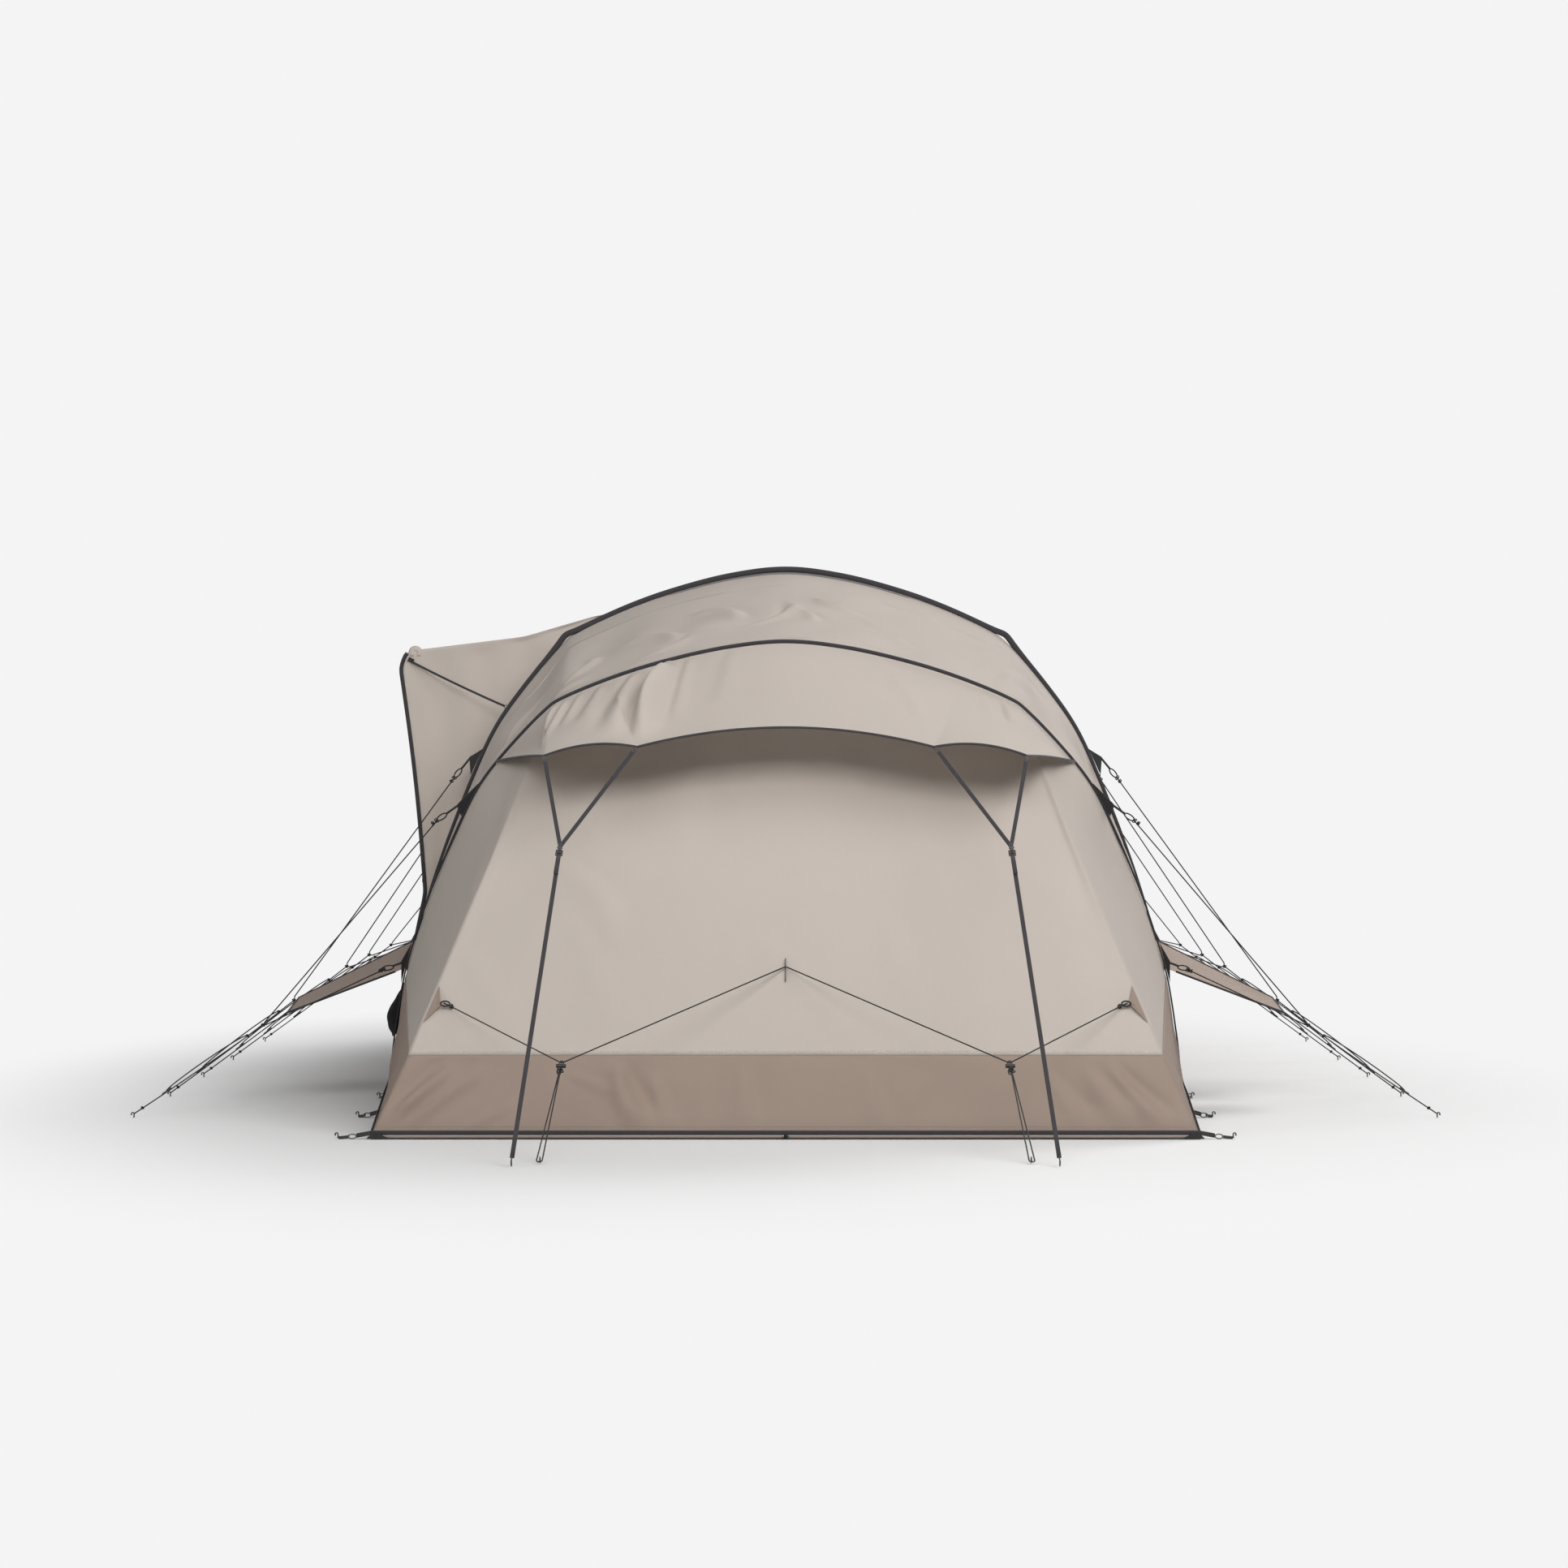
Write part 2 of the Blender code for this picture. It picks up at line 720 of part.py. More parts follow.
def build_front_cords():
    side_x, side_z = WALL_TAB_SIDE
    side_y = wall_y(side_x, side_z) - 2.6 * CORD_RADIUS
    middle = Vector((0, wall_y(0, WALL_TAB_MIDDLE) - 4 * CORD_RADIUS, WALL_TAB_MIDDLE))
    runner = Vector(RUNNER_PLACE)
    mirrored = Vector((-runner.x, runner.y, runner.z))
    route = [(-side_x, side_y, side_z), mirrored, middle, runner, (side_x, side_y, side_z)]
    place("front_bridle", branched([(route, CORD_RADIUS)]), CORD)
    for side, word in ((-1, "left"), (1, "right")):
        start = Vector((side * runner.x, runner.y, runner.z))
        peg = Vector((side * FRONT_PEG[0], FRONT_PEG[1], PEG_HEIGHT / 2))
        way = (peg - start).normalized()
        first = start + way * (CORD_RADIUS + 2 * GAP)
        paths = [([first, peg], CORD_RADIUS)] + peg_paths(peg, (0, -1, 0))
        place(f"front_line_{word}", branched(paths), CORD)
        spot = start + way * (3 * CORD_RADIUS + 2 * RUNNER_RADIUS)
        frame = along(spot - way, spot + way)
        across = frame @ Matrix.Rotation(math.pi / 2, 4, "Y")
        body = place(f"front_runner_{word}", rod(RUNNER_RADIUS, RUNNER_LENGTH, across, 12), PLASTIC, spot)
        lengthwise = frame @ Matrix.Rotation(math.pi / 2, 4, "X")
        bore = rod(SLIDER_BORE, 4 * RUNNER_RADIUS, lengthwise, 10)
        combine(body, guide(f"runner_bore_{word}", bore), "DIFFERENCE")


def guy_route(arch, side):
    """The two legs of a guy line's bridle, each from its tab's root to its ring, and their common corner."""
    standoff = CORD_RADIUS + GAP
    corner = Vector(GUY_CORNERS[arch])
    points = []
    for height, tab in ((GUY_UPPER_HEIGHTS[arch], UPPER_TAB), (GUY_LOWER_HEIGHTS[arch], LOWER_TAB)):
        x = contour_x(height)
        points.append([on_arch(arch, x + standoff, height), on_arch(arch, x + tab[0], height + tab[1])])
    upper, lower = [[Vector((side * p.x, p.y, p.z)) for p in leg] for leg in points]
    return upper, Vector((side * corner.x, corner.y, corner.z)), lower


def build_guys():
    for arch in range(5):
        for side, word in ((-1, "left"), (1, "right")):
            number = arch + 1
            upper, corner, lower = guy_route(arch, side)
            peg = Vector((side * GUY_PEG_HALF, GUY_PEG_ROWS[arch], PEG_HEIGHT / 2))
            legs = [([*upper, corner], CORD_RADIUS), ([*lower, corner], CORD_RADIUS)]
            paths = legs + [([corner, peg], CORD_RADIUS)] + peg_paths(peg, (side, 0, 0))
            place(f"guy_line_{word}_{number}", branched(paths), CORD)
            spot = peg.lerp(corner, SLIDER_SHARE)
            frame = along(peg, corner)
            frame.translation = spot
            slider = place(f"guy_slider_{word}_{number}", block(SLIDER, frame), PLASTIC, spot)
            bore_frame = frame @ Matrix.Rotation(math.pi / 2, 4, "X")
            bore = rod(SLIDER_BORE, 2 * SLIDER[1], bore_frame, 10)
            combine(slider, guide(f"slider_bore_{word}_{number}", bore), "DIFFERENCE")


def flap_roots(stand):
    """The near and far ends of a flap's sewn edge, between the first two arches' legs."""
    ends = [on_arch(arch, contour_x(FLAP_HEIGHT) + stand, FLAP_HEIGHT) for arch in (0, 1)]
    way = (ends[1] - ends[0]).normalized()
    return ends[0] + way * FLAP_MARGIN, ends[1] - way * FLAP_MARGIN


def build_flaps():
    stand = 2 * GAP
    near, far = flap_roots(stand)
    near_out = near + Vector((FLAP_REACH, 0, -FLAP_NEAR_DROP))
    far_out = far + Vector((FLAP_REACH, 0, -FLAP_FAR_DROP))
    drop = math.atan2((FLAP_NEAR_DROP + FLAP_FAR_DROP) / 2, FLAP_REACH)
    up = Vector((math.sin(drop), 0, math.cos(drop))) * FABRIC
    rows = []
    for row in range(5):
        share = row / 4
        a, b = near.lerp(near_out, share), far.lerp(far_out, share)
        slack = Vector((0, 0, -SAG / 2)) * 4 * share * (1 - share)
        rows.append([a, a.lerp(b, 0.5) + slack, b])
    raised = [[p + up for p in row] for row in rows]
    for side, word in ((-1, "left"), (1, "right")):
        mirrored = []
        for grid in (rows, raised):
            mirrored.append([[Vector((side * p.x, p.y, p.z)) for p in row] for row in grid])
        low, top = mirrored
        origin = low[0][0].lerp(low[0][2], 0.5)
        place(f"side_flap_{word}", shell(top, low), BROWN, origin)


def porch_line(inset):
    """The porch's outline on the left, from its roof's seam over the front down to its foot."""
    low = [(contour_x(z) + PORCH_STANDOFF, z) for z in (*PORCH_KNEES, PORCH_BOTTOM)]
    line = [Vector(p) for p in (*PORCH_ROOF, *PORCH_FRONT, *low)]
    made = []
    for i, point in enumerate(line):
        one = (point - line[i - 1]).normalized() if i else (line[1] - point).normalized()
        two = (line[i + 1] - point).normalized() if i + 1 < len(line) else one
        inward = Vector((one.y + two.y, -one.x - two.x)).normalized()
        made.append(point + inward * inset / max(0.5, inward.dot(Vector((one.y, -one.x)))))
    made[-1].y = PORCH_BOTTOM + inset
    return made


def porch_x(z, inset=0.0):
    line = porch_line(inset)
    for a, b in zip(line[2:], line[3:]):
        if b.y <= z <= a.y:
            return a.x + (b.x - a.x) * (a.y - z) / (a.y - b.y)
    return line[-1].x


PORCH_NEAR = END_INSET + PORCH_INSET
PORCH_FAR = END_INSET + ARCH_PITCH - PORCH_INSET


def porch_prism(inset, reach):
    line = porch_line(inset)
    inside = [(line[-1].x - reach, line[-1].y), (line[0].x - reach / 2, line[0].y - reach)]
    outline = [(-p.x, p.y) for p in line] + [(-x, z) for x, z in inside]
    return prism(outline, PORCH_NEAR + inset, PORCH_FAR - inset)


def build_porch(space):
    porch = place("side_porch", porch_prism(0.0, 0.30), BEIGE)
    body = solid_of(bay_rows(1, -2 * GAP, lowest=len(HALF_SECTION) - 1))
    combine(porch, space, "DIFFERENCE")
    combine(porch, guide("tent_body", body), "DIFFERENCE")
    width = PORCH_FAR - PORCH_NEAR - 2 * DOOR_MARGIN
    size = (0.5, width, DOOR_TOP - DOOR_SILL)
    middle = (-PORCH_FRONT[0][0], (PORCH_NEAR + PORCH_FAR) / 2, (DOOR_TOP + DOOR_SILL) / 2)
    combine(porch, guide("doorway", block(size, Matrix.Translation(middle))), "DIFFERENCE")


def build_door():
    near = PORCH_NEAR + DOOR_MARGIN + DOOR_CLEARANCE
    far = PORCH_FAR - DOOR_MARGIN - GAP
    top, low = DOOR_TOP - DOOR_CLEARANCE, DOOR_SILL + DOOR_CLEARANCE
    heights = [low] + [z for z in sorted((*PORCH_KNEES, PORCH_FRONT[1][1])) if low < z < top] + [top]
    grids = [
        [[Vector((-porch_x(z, inset), y, z)) for y in (near, (near + far) / 2, far)] for z in heights]
        for inset in (0.0, FABRIC)
    ]
    hinge_x = max(porch_x(z) for z in heights)
    origin = Vector((-hinge_x, far, (top + low) / 2))
    place("door_panel", shell(*grids), BEIGE, origin)


def build_zip_slider():
    y = PORCH_NEAR + DOOR_MARGIN - ZIP_SLIDER[0] / 2 - DOOR_CLEARANCE
    out = GAP + ZIP_SLIDER[1] / 2
    low, high = [Vector((-porch_x(z) - out, y, z)) for z in (ZIP_PARK, ZIP_PARK + ZIP_SLIDER[2])]
    way = (high - low).normalized()
    across = Vector((0, 1, 0))
    outward = way.cross(across)
    turn = Matrix((across, outward, way)).transposed().to_4x4()
    place("zip_slider", block(ZIP_SLIDER, Matrix.Translation(low) @ turn), STEEL, low)


def skirt_point(y, z, out=0.0):
    """A point on the left skirt between the first two arches' legs."""
    height = z
    for _ in range(20):
        near, far = [on_arch(arch, contour_x(height), height) for arch in (0, 1)]
        share = (y - near.y) / (far.y - near.y)
        height += z - near.lerp(far, share).z
    spot = near.lerp(far, share)
    return Vector((-spot.x - out, y, z))


def build_valve():
    base = skirt_point(VALVE_Y, VALVE_Z)
    step = 0.01
    up = skirt_point(VALVE_Y, VALVE_Z + step) - base
    back = skirt_point(VALVE_Y + step, VALVE_Z) - base
    normal = up.cross(back).normalized()
    if normal.x > 0:
        normal.negate()
    turn = normal.to_track_quat("Z", "Y").to_matrix().to_4x4()
    body_at = base + normal * (2 * GAP + VALVE_HEIGHT / 2)
    cap_at = base + normal * (3 * GAP + VALVE_HEIGHT + CAP_THICKNESS / 2)
    body = rod(VALVE_RADIUS, VALVE_HEIGHT, Matrix.Translation(body_at) @ turn, 20)
    cap = rod(CAP_RADIUS, CAP_THICKNESS, Matrix.Translation(cap_at) @ turn, 20)
    place("valve_body", body, PLASTIC)
    place("valve_cap", cap, PLASTIC, cap_at)


def build_pouch():
    grids = []
    for lift in (3 * GAP + FABRIC, 3 * GAP):
        rows = []
        for z, depth in POUCH_PROFILE:
            row = []
            for column in range(POUCH_COLUMNS + 1):
                share = column / POUCH_COLUMNS
                y = VALVE_Y + POUCH_WIDTH * (share - 0.5)
                row.append(skirt_point(y, z, lift + depth * math.sin(math.pi * share)))
            rows.append(row)
        grids.append(rows)
    place("valve_pouch", shell(*grids), BLACK_FABRIC)


def build_groundsheet():
    quarter = [(END_HALF_WIDTH, 0.0), (FOOT_HALF_WIDTH, arch_foot(0)), (FOOT_HALF_WIDTH, arch_foot(4))]
    right = quarter + [(END_HALF_WIDTH, LENGTH)]
    left = [(-x, y) for x, y in reversed(right)]
    sheet = place("groundsheet", slab(right + left, 0.0, GROUND_THICKNESS), GROUND)
    half, near, far = FOOT_HALF_WIDTH - FLOOR_RIM, FLOOR_RIM, LENGTH - FLOOR_RIM
    inner = [(half, near), (half, far), (-half, far), (-half, near)]
    recess = slab(inner, FLOOR_THICKNESS, 2 * GROUND_THICKNESS)
    combine(sheet, guide("floor_recess", recess), "DIFFERENCE")


def build():
    space = guide("porch_space", porch_prism(FABRIC, 0.60))
    build_beams(below_floor())
    build_air_line()
    build_bays(space)
    build_side_skirts(space)
    build_end_walls()
    build_hood()
    build_straps()
    build_front_cords()
    build_guys()
    build_flaps()
    build_porch(space)
    build_door()
    build_zip_slider()
    build_valve()
    build_pouch()
    build_groundsheet()


build()
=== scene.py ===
"""Inflatable tunnel tent: woven panels, piping, hood, porch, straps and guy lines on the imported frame."""

import json
import math

import bpy
import numpy as np
from bpy.props import FloatProperty, FloatVectorProperty, PointerProperty
from mathutils import Matrix, Vector

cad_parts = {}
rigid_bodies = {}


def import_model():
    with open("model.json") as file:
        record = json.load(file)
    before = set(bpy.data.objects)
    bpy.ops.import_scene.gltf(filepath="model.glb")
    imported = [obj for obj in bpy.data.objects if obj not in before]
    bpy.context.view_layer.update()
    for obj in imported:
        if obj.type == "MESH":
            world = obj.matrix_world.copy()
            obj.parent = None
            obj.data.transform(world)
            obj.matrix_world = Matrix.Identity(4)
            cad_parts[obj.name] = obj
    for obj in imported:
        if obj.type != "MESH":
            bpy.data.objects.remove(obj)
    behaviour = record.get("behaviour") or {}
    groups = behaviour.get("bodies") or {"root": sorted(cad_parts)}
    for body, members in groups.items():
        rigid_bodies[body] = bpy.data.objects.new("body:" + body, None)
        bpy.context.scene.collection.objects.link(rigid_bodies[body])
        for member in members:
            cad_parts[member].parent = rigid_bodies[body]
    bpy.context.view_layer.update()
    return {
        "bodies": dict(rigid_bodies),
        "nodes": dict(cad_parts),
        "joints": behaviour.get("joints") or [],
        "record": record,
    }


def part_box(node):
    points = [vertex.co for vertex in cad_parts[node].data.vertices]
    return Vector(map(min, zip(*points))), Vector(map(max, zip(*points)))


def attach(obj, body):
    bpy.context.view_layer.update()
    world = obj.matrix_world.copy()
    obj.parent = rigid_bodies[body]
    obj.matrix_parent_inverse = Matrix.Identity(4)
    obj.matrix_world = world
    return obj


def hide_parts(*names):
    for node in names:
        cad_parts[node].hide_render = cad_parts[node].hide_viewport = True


bl_info = {
    "name": "Inflatable tent",
    "version": (1, 0, 0),
    "blender": (4, 5, 0),
    "location": "View3D > Sidebar > Tent",
    "description": "Dresses the packed tent with woven panels, piping, cords and small hardware",
    "category": "Object",
}

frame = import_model()

# Arches, counted along the tent from the near base edge
HALF_WIDTH = 1.66
HEIGHT = 2.20
END_HALF_WIDTH = 1.543
LENGTH = 5.90
ARCH_PITCH = 1.033
FIRST_UPRIGHT = 1.917
FOOT_PITCH = 0.12
END_LEAN = math.radians(32)
ORIGIN_Y = 2.4155
FLOOR = 0.0125
HALF_SECTION = (
    (0.000, 1.000),
    (0.138, 0.988),
    (0.281, 0.960),
    (0.402, 0.927),
    (0.519, 0.885),
    (0.569, 0.855),
    (0.657, 0.776),
    (0.728, 0.698),
    (0.784, 0.606),
    (0.848, 0.482),
    (0.895, 0.376),
    (0.931, 0.277),
    (0.961, 0.150),
    (0.979, 0.055),
    (1.000, 0.000),
)
KNEE = 5
SEAM = 11
FOOT = 14

# End walls and hood
SKIRT_HEIGHT = 0.306
SKIRT_HALF_WIDTH = 1.413
SKIRT_SETBACK = 0.11
HOOD_OVERHANG = 0.20
HOOD_LOWEST = 6.35
HOOD_EDGE = ((0.91, 1.424), (0.559, 1.4575))
HOOD_EDGE_MIDDLE = 1.531
HOOD_SCALLOP = 0.026
STRAP_JOIN = (0.833, -0.11, 1.092)
STRAP_PEG = (0.954, -1.05)

# Where the end wall's corners meet the near arch, how far its side seams bow in and out,
# and where the hood's crease starts
WALL_CORNER = 4.72
WALL_BOW = (0.018, 0.055)
HOOD_CREST = -0.45

# How far the piping stands out from the arches, and how far the porch's front bows in halfway up
PIPING_REACH = 0.008
PORCH_BOW = 0.010

# Porch on the left
PORCH_NEAR = FIRST_UPRIGHT + 0.15
PORCH_FAR = FIRST_UPRIGHT + ARCH_PITCH - 0.15
PORCH_ROOF = ((0.56, 2.044), (0.80, 2.006), (1.10, 1.919), (1.594, 1.858))
PORCH_FRONT = ((1.620, 1.790), (1.515, 0.850))
PORCH_KNEES = (0.61, 0.33, 0.15)
PORCH_BOTTOM = 0.070
PORCH_STANDOFF = 0.020
SLEEVE_END = ((-1.568, 1.838), (-1.566, 1.860), (-1.553, 1.867), (-1.541, 1.861), (-1.537, 1.838))
DOOR_MARGIN = 0.060
DOOR_TOP = 1.700
DOOR_SILL = 0.120
DOOR_CLEARANCE = 0.004

# Side flaps, valve and pegs
FLAP_REACH = 0.487
FLAP_DROPS = (0.185, 0.240)
FLAP_HEIGHT = 0.655
VALVE_Y = 1.70
POUCH_PROFILE = ((0.490, 0.001), (0.430, 0.026), (0.364, 0.050), (0.310, 0.036), (0.275, 0.012))
POUCH_WIDTH = 0.150
PEG_HEIGHT = 0.036
PEG_RADIUS = 0.003

# Guy lines
GUY_PEG_HALF = 2.559
GUY_PEG_ROWS = (0.905, 1.917, 2.96, 3.98, 5.22)
GUY_CORNERS = (
    (2.078, 1.03, 0.349),
    (2.068, 1.917, 0.384),
    (1.946, 2.95, 0.478),
    (1.946, 3.98, 0.478),
    (1.92, 4.95, 0.490),
)
GUY_UPPER_HEIGHTS = (1.53, 1.495, 1.495, 1.495, 1.53)
GUY_LOWER_HEIGHTS = (0.70, 0.62, 0.62, 0.62, 0.70)
UPPER_TAB = (0.090, -0.090)
LOWER_TAB = (0.070, -0.030)
SLIDER_SHARE = 0.26
# How much the straps at the end arches' upper tabs stand up from the cord's own line
GUY_TILT = 0.28
# The upper and lower tabs: the near arch's and the other arches' spans along the arch,
# how far the tip reaches towards the cord's end, and how far past that end the strap,
# its loop and the two knots lie
GUY_TABS = {
    "upper": ((0.021, -0.137), (-0.046, -0.155), 0.97, 0.050, 0.073, (0.098, 0.116)),
    "lower": ((0.088, -0.113), (0.080, -0.110), 0.50, 0.004, 0.026, (0.050, 0.066)),
}

# Cords at the near end
WALL_TAB_SIDE = (1.286, 0.496)
WALL_TAB_MIDDLE = 0.632
RUNNER_PLACE = (0.8185, -0.284, 0.305)
FRONT_PEG = (0.862, -0.932)

# Camera: its height, its distance before the near base edge,
# and how far the photograph's centre is off its axis
CAMERA_HEIGHT = 1.485
CAMERA_DISTANCE = 16.2
CAMERA_SHIFT = (-2 / 1932, -54 / 1932)

# Studio: the background's brightness, and each lamp's name, place, aim, size and power
BACKDROP = 0.905
AMBIENT = 0.03
LAMPS = (
    ("key", (6, -8, 8), (0, 0, 1), (6, 6), 550),
    ("front", (0, -14, 8), (0, 0, 1), (10, 4), 800),
    ("rear", (5, 6, 7), (0, 0, 0.5), (5, 5), 450),
    ("fill", (-9, -6, 6), (0, 0, 1), (6, 6), 210),
)
# The floor fades into the background between two ovals, given as shares of the tent's
# half width and half length
FLOOR_OVAL = (1.66, 2.95)
FLOOR_FADE = (1.0, 2.3)

SIDES = ((-1, "left"), (1, "right"))


class TentSizes(bpy.types.PropertyGroup):
    cloth: FloatProperty(
        name="Cloth", description="Thickness of the woven panels", default=0.0015, unit="LENGTH"
    )
    piping: FloatProperty(
        name="Piping", description="Height of the piping along the arches", default=0.026, unit="LENGTH"
    )
    binding: FloatProperty(
        name="Binding", description="Width of the tape on the hood's edge", default=0.010, unit="LENGTH"
    )
    sag: FloatProperty(
        name="Sag", description="Dip of the roof cloth between two arches", default=0.020, unit="LENGTH"
    )
    weave: FloatProperty(
        name="Weave", description="Distance from one thread to the next", default=0.0016, unit="LENGTH"
    )
    webbing: FloatProperty(
        name="Webbing", description="Width of the hood's straps", default=0.016, unit="LENGTH"
    )
    cord: FloatProperty(
        name="Cord", description="Diameter of the guy lines", default=0.005, unit="LENGTH"
    )


def colour(name, about, value):
    return FloatVectorProperty(name=name, description=about, default=value, subtype="COLOR", size=3)


class TentColours(bpy.types.PropertyGroup):
    beige: colour("Beige", "Upper cloth", (0.627, 0.560, 0.503))
    brown: colour("Brown", "Skirt cloth", (0.386, 0.298, 0.246))
    charcoal: colour("Charcoal", "Piping, straps and tapes", (0.030, 0.027, 0.031))
    black: colour("Black", "Tabs, pouch and small plastic", (0.019, 0.018, 0.020))
    flap: colour("Flap", "Side flaps", (0.440, 0.352, 0.297))
    cord: colour("Cord", "Guy lines", (0.012, 0.012, 0.013))
    sleeve: colour("Sleeve", "Sleeves of the air beams", (0.24, 0.23, 0.22))
    floor: colour("Floor", "Studio floor", (0.97, 0.97, 0.97))


def sizes():
    return bpy.context.scene.tent_sizes


def colours():
    return bpy.context.scene.tent_colours


class Value:
    """A socket that Python's operators can reckon with."""

    def __init__(self, graph, socket):
        self.graph, self.socket = graph, socket

    def _math(self, operation, *values):
        return self.graph.add("ShaderNodeMath", {"operation": operation}, *values)

    def __add__(self, other):
        return self._math("ADD", self, other)

    __radd__ = __add__

    def __mul__(self, other):
        return self._math("MULTIPLY", self, other)

    __rmul__ = __mul__

    def __sub__(self, other):
        return self._math("SUBTRACT", self, other)

    def __rsub__(self, other):
        return self._math("SUBTRACT", other, self)

    def sine(self):
        return self._math("SINE", self)


class Graph:
    """A material's nodes, made one call each."""

    def __init__(self, name):
        self.material = bpy.data.materials.new(name)
        self.material.use_nodes = True
        self.tree = self.material.node_tree
        self.shader = self.tree.nodes["Principled BSDF"]

    def add(self, kind, settings=None, *places, output=0, **inputs):
        node = self.tree.nodes.new(kind)
        for key, value in (settings or {}).items():
            if key == "stops":
                for stop, (where, shade) in zip(node.color_ramp.elements, value):
                    stop.position = where
                    stop.color = shade
            else:
                setattr(node, key, value)
        for key, value in [*enumerate(places), *inputs.items()]:
            socket = node.inputs[key.replace("_", " ") if isinstance(key, str) else key]
            if isinstance(value, Value):
                self.tree.links.new(value.socket, socket)
            else:
                socket.default_value = value
        return Value(self, node.outputs[output])

    def set(self, name, value):
        socket = self.shader.inputs[name]
        if isinstance(value, Value):
            self.tree.links.new(value.socket, socket)
        else:
            socket.default_value = value

    def place(self, scale=1.0):
        """The point on the piece, in metres times the scale."""
        point = self.add("ShaderNodeTexCoord", output=3)
        return self.add("ShaderNodeVectorMath", {"operation": "SCALE"}, point, Scale=scale)

    def noise(self, scale, detail=3.0, where=None):
        spot = where or self.place()
        return self.add("ShaderNodeTexNoise", {}, Vector=spot, Scale=scale, Detail=detail)

    def mix(self, factor, low, high):
        return self.add(
            "ShaderNodeMix",
            {"data_type": "RGBA"},
            output=2,
            **{"Factor": factor, "A": low, "B": high},
        )

    def bump(self, height, distance, strength=0.5):
        normal = self.add("ShaderNodeBump", {}, Height=height, Distance=distance, Strength=strength)
        self.set("Normal", normal)


def shade(rgb, factor):
    return (*[min(1.0, c * factor) for c in rgb], 1.0)


def woven(name, rgb, weave=True, mottle=0.05, crumple=0.004, low_darkening=0.0):
    """Woven cloth: plain weave on the cloth's own UV map in metres, soft mottling and fine crumples."""
    graph = Graph(name)
    broad = graph.noise(1.7, 4.0)
    fine = graph.noise(60.0, 3.0)
    tone = broad * 0.7 + fine * 0.3
    base = graph.mix(tone, shade(rgb, 1 - mottle), shade(rgb, 1 + mottle))
    # The cloth's lowest 9 cm is painted darker towards the bottom, by the given share.
    if low_darkening:
        point = graph.place()
        height = graph.add("ShaderNodeSeparateXYZ", {}, point, output=2)
        low = graph.add(
            "ShaderNodeMapRange",
            {"clamp": True},
            Value=height,
            From_Min=0.0,
            From_Max=0.09,
            To_Min=low_darkening,
            To_Max=0.0,
        )
        darkening = low * (0.4 + fine)
        base = graph.mix(darkening, base, shade(rgb, 0.62))
    graph.set("Base Color", base)
    graph.set("Roughness", fine * 0.12 + 0.80)
    graph.set("Sheen Weight", 0.06)
    graph.set("Sheen Roughness", 0.5)
    graph.set("Specular IOR Level", 0.25)
    height = graph.noise(7.0, 5.0) * crumple
    if weave:
        pitch = sizes().weave
        flat = graph.add("ShaderNodeUVMap", {"uv_map": "cloth"})
        across = graph.add("ShaderNodeSeparateXYZ", {}, flat, output=0)
        along = graph.add("ShaderNodeSeparateXYZ", {}, flat, output=1)
        turn = 2 * math.pi / pitch
        threads = (across * turn).sine() * (along * turn).sine()
        height = height + threads * 0.00012
    graph.bump(height, 1.0, 0.8)
    return graph.material


def tape(name, rgb, rib=0.0022, roughness=0.72):
    """Woven tape or webbing with ribs across it."""
    graph = Graph(name)
    speckle = graph.noise(180.0, 2.0)
    graph.set("Base Color", graph.mix(speckle, shade(rgb, 0.80), shade(rgb, 1.30)))
    graph.set("Roughness", speckle * 0.15 + roughness)
    graph.set("Sheen Weight", 0.10)
    flat = graph.add("ShaderNodeUVMap", {"uv_map": "cloth"})
    along = graph.add("ShaderNodeSeparateXYZ", {}, flat, output=1)
    ribs = (along * (2 * math.pi / rib)).sine()
    graph.bump(ribs * 0.0002 + speckle * 0.0003, 1.0, 0.7)
    return graph.material


def braid(name, rgb):
    """Braided cord: a fine diamond pattern on the cord's own UV map."""
    graph = Graph(name)
    speckle = graph.noise(400.0, 2.0)
    graph.set("Base Color", graph.mix(speckle, shade(rgb, 0.7), shade(rgb, 1.5)))
    graph.set("Roughness", speckle * 0.2 + 0.62)
    graph.bump(speckle * 0.0006, 1.0, 0.6)
    return graph.material


def moulded(name, rgb, roughness=0.42):
    """Moulded plastic with a fine spark-eroded grain."""
    graph = Graph(name)
    grain = graph.noise(900.0, 2.0)
    wear = graph.noise(35.0, 4.0)
    graph.set("Base Color", graph.mix(wear, shade(rgb, 0.85), shade(rgb, 1.25)))
    graph.set("Roughness", wear * 0.16 + roughness)
    graph.bump(grain * 0.00006, 1.0, 0.5)
    return graph.material


def plated(name, rgb):
    """Dark plated steel with light scuffs."""
    graph = Graph(name)
    wear = graph.noise(70.0, 5.0)
    graph.set("Base Color", graph.mix(wear, shade(rgb, 0.75), shade(rgb, 1.4)))
    graph.set("Metallic", 0.9)
    graph.set("Roughness", wear * 0.25 + 0.28)
    graph.bump(wear * 0.0001, 1.0, 0.4)
    return graph.material


MATERIALS = {}


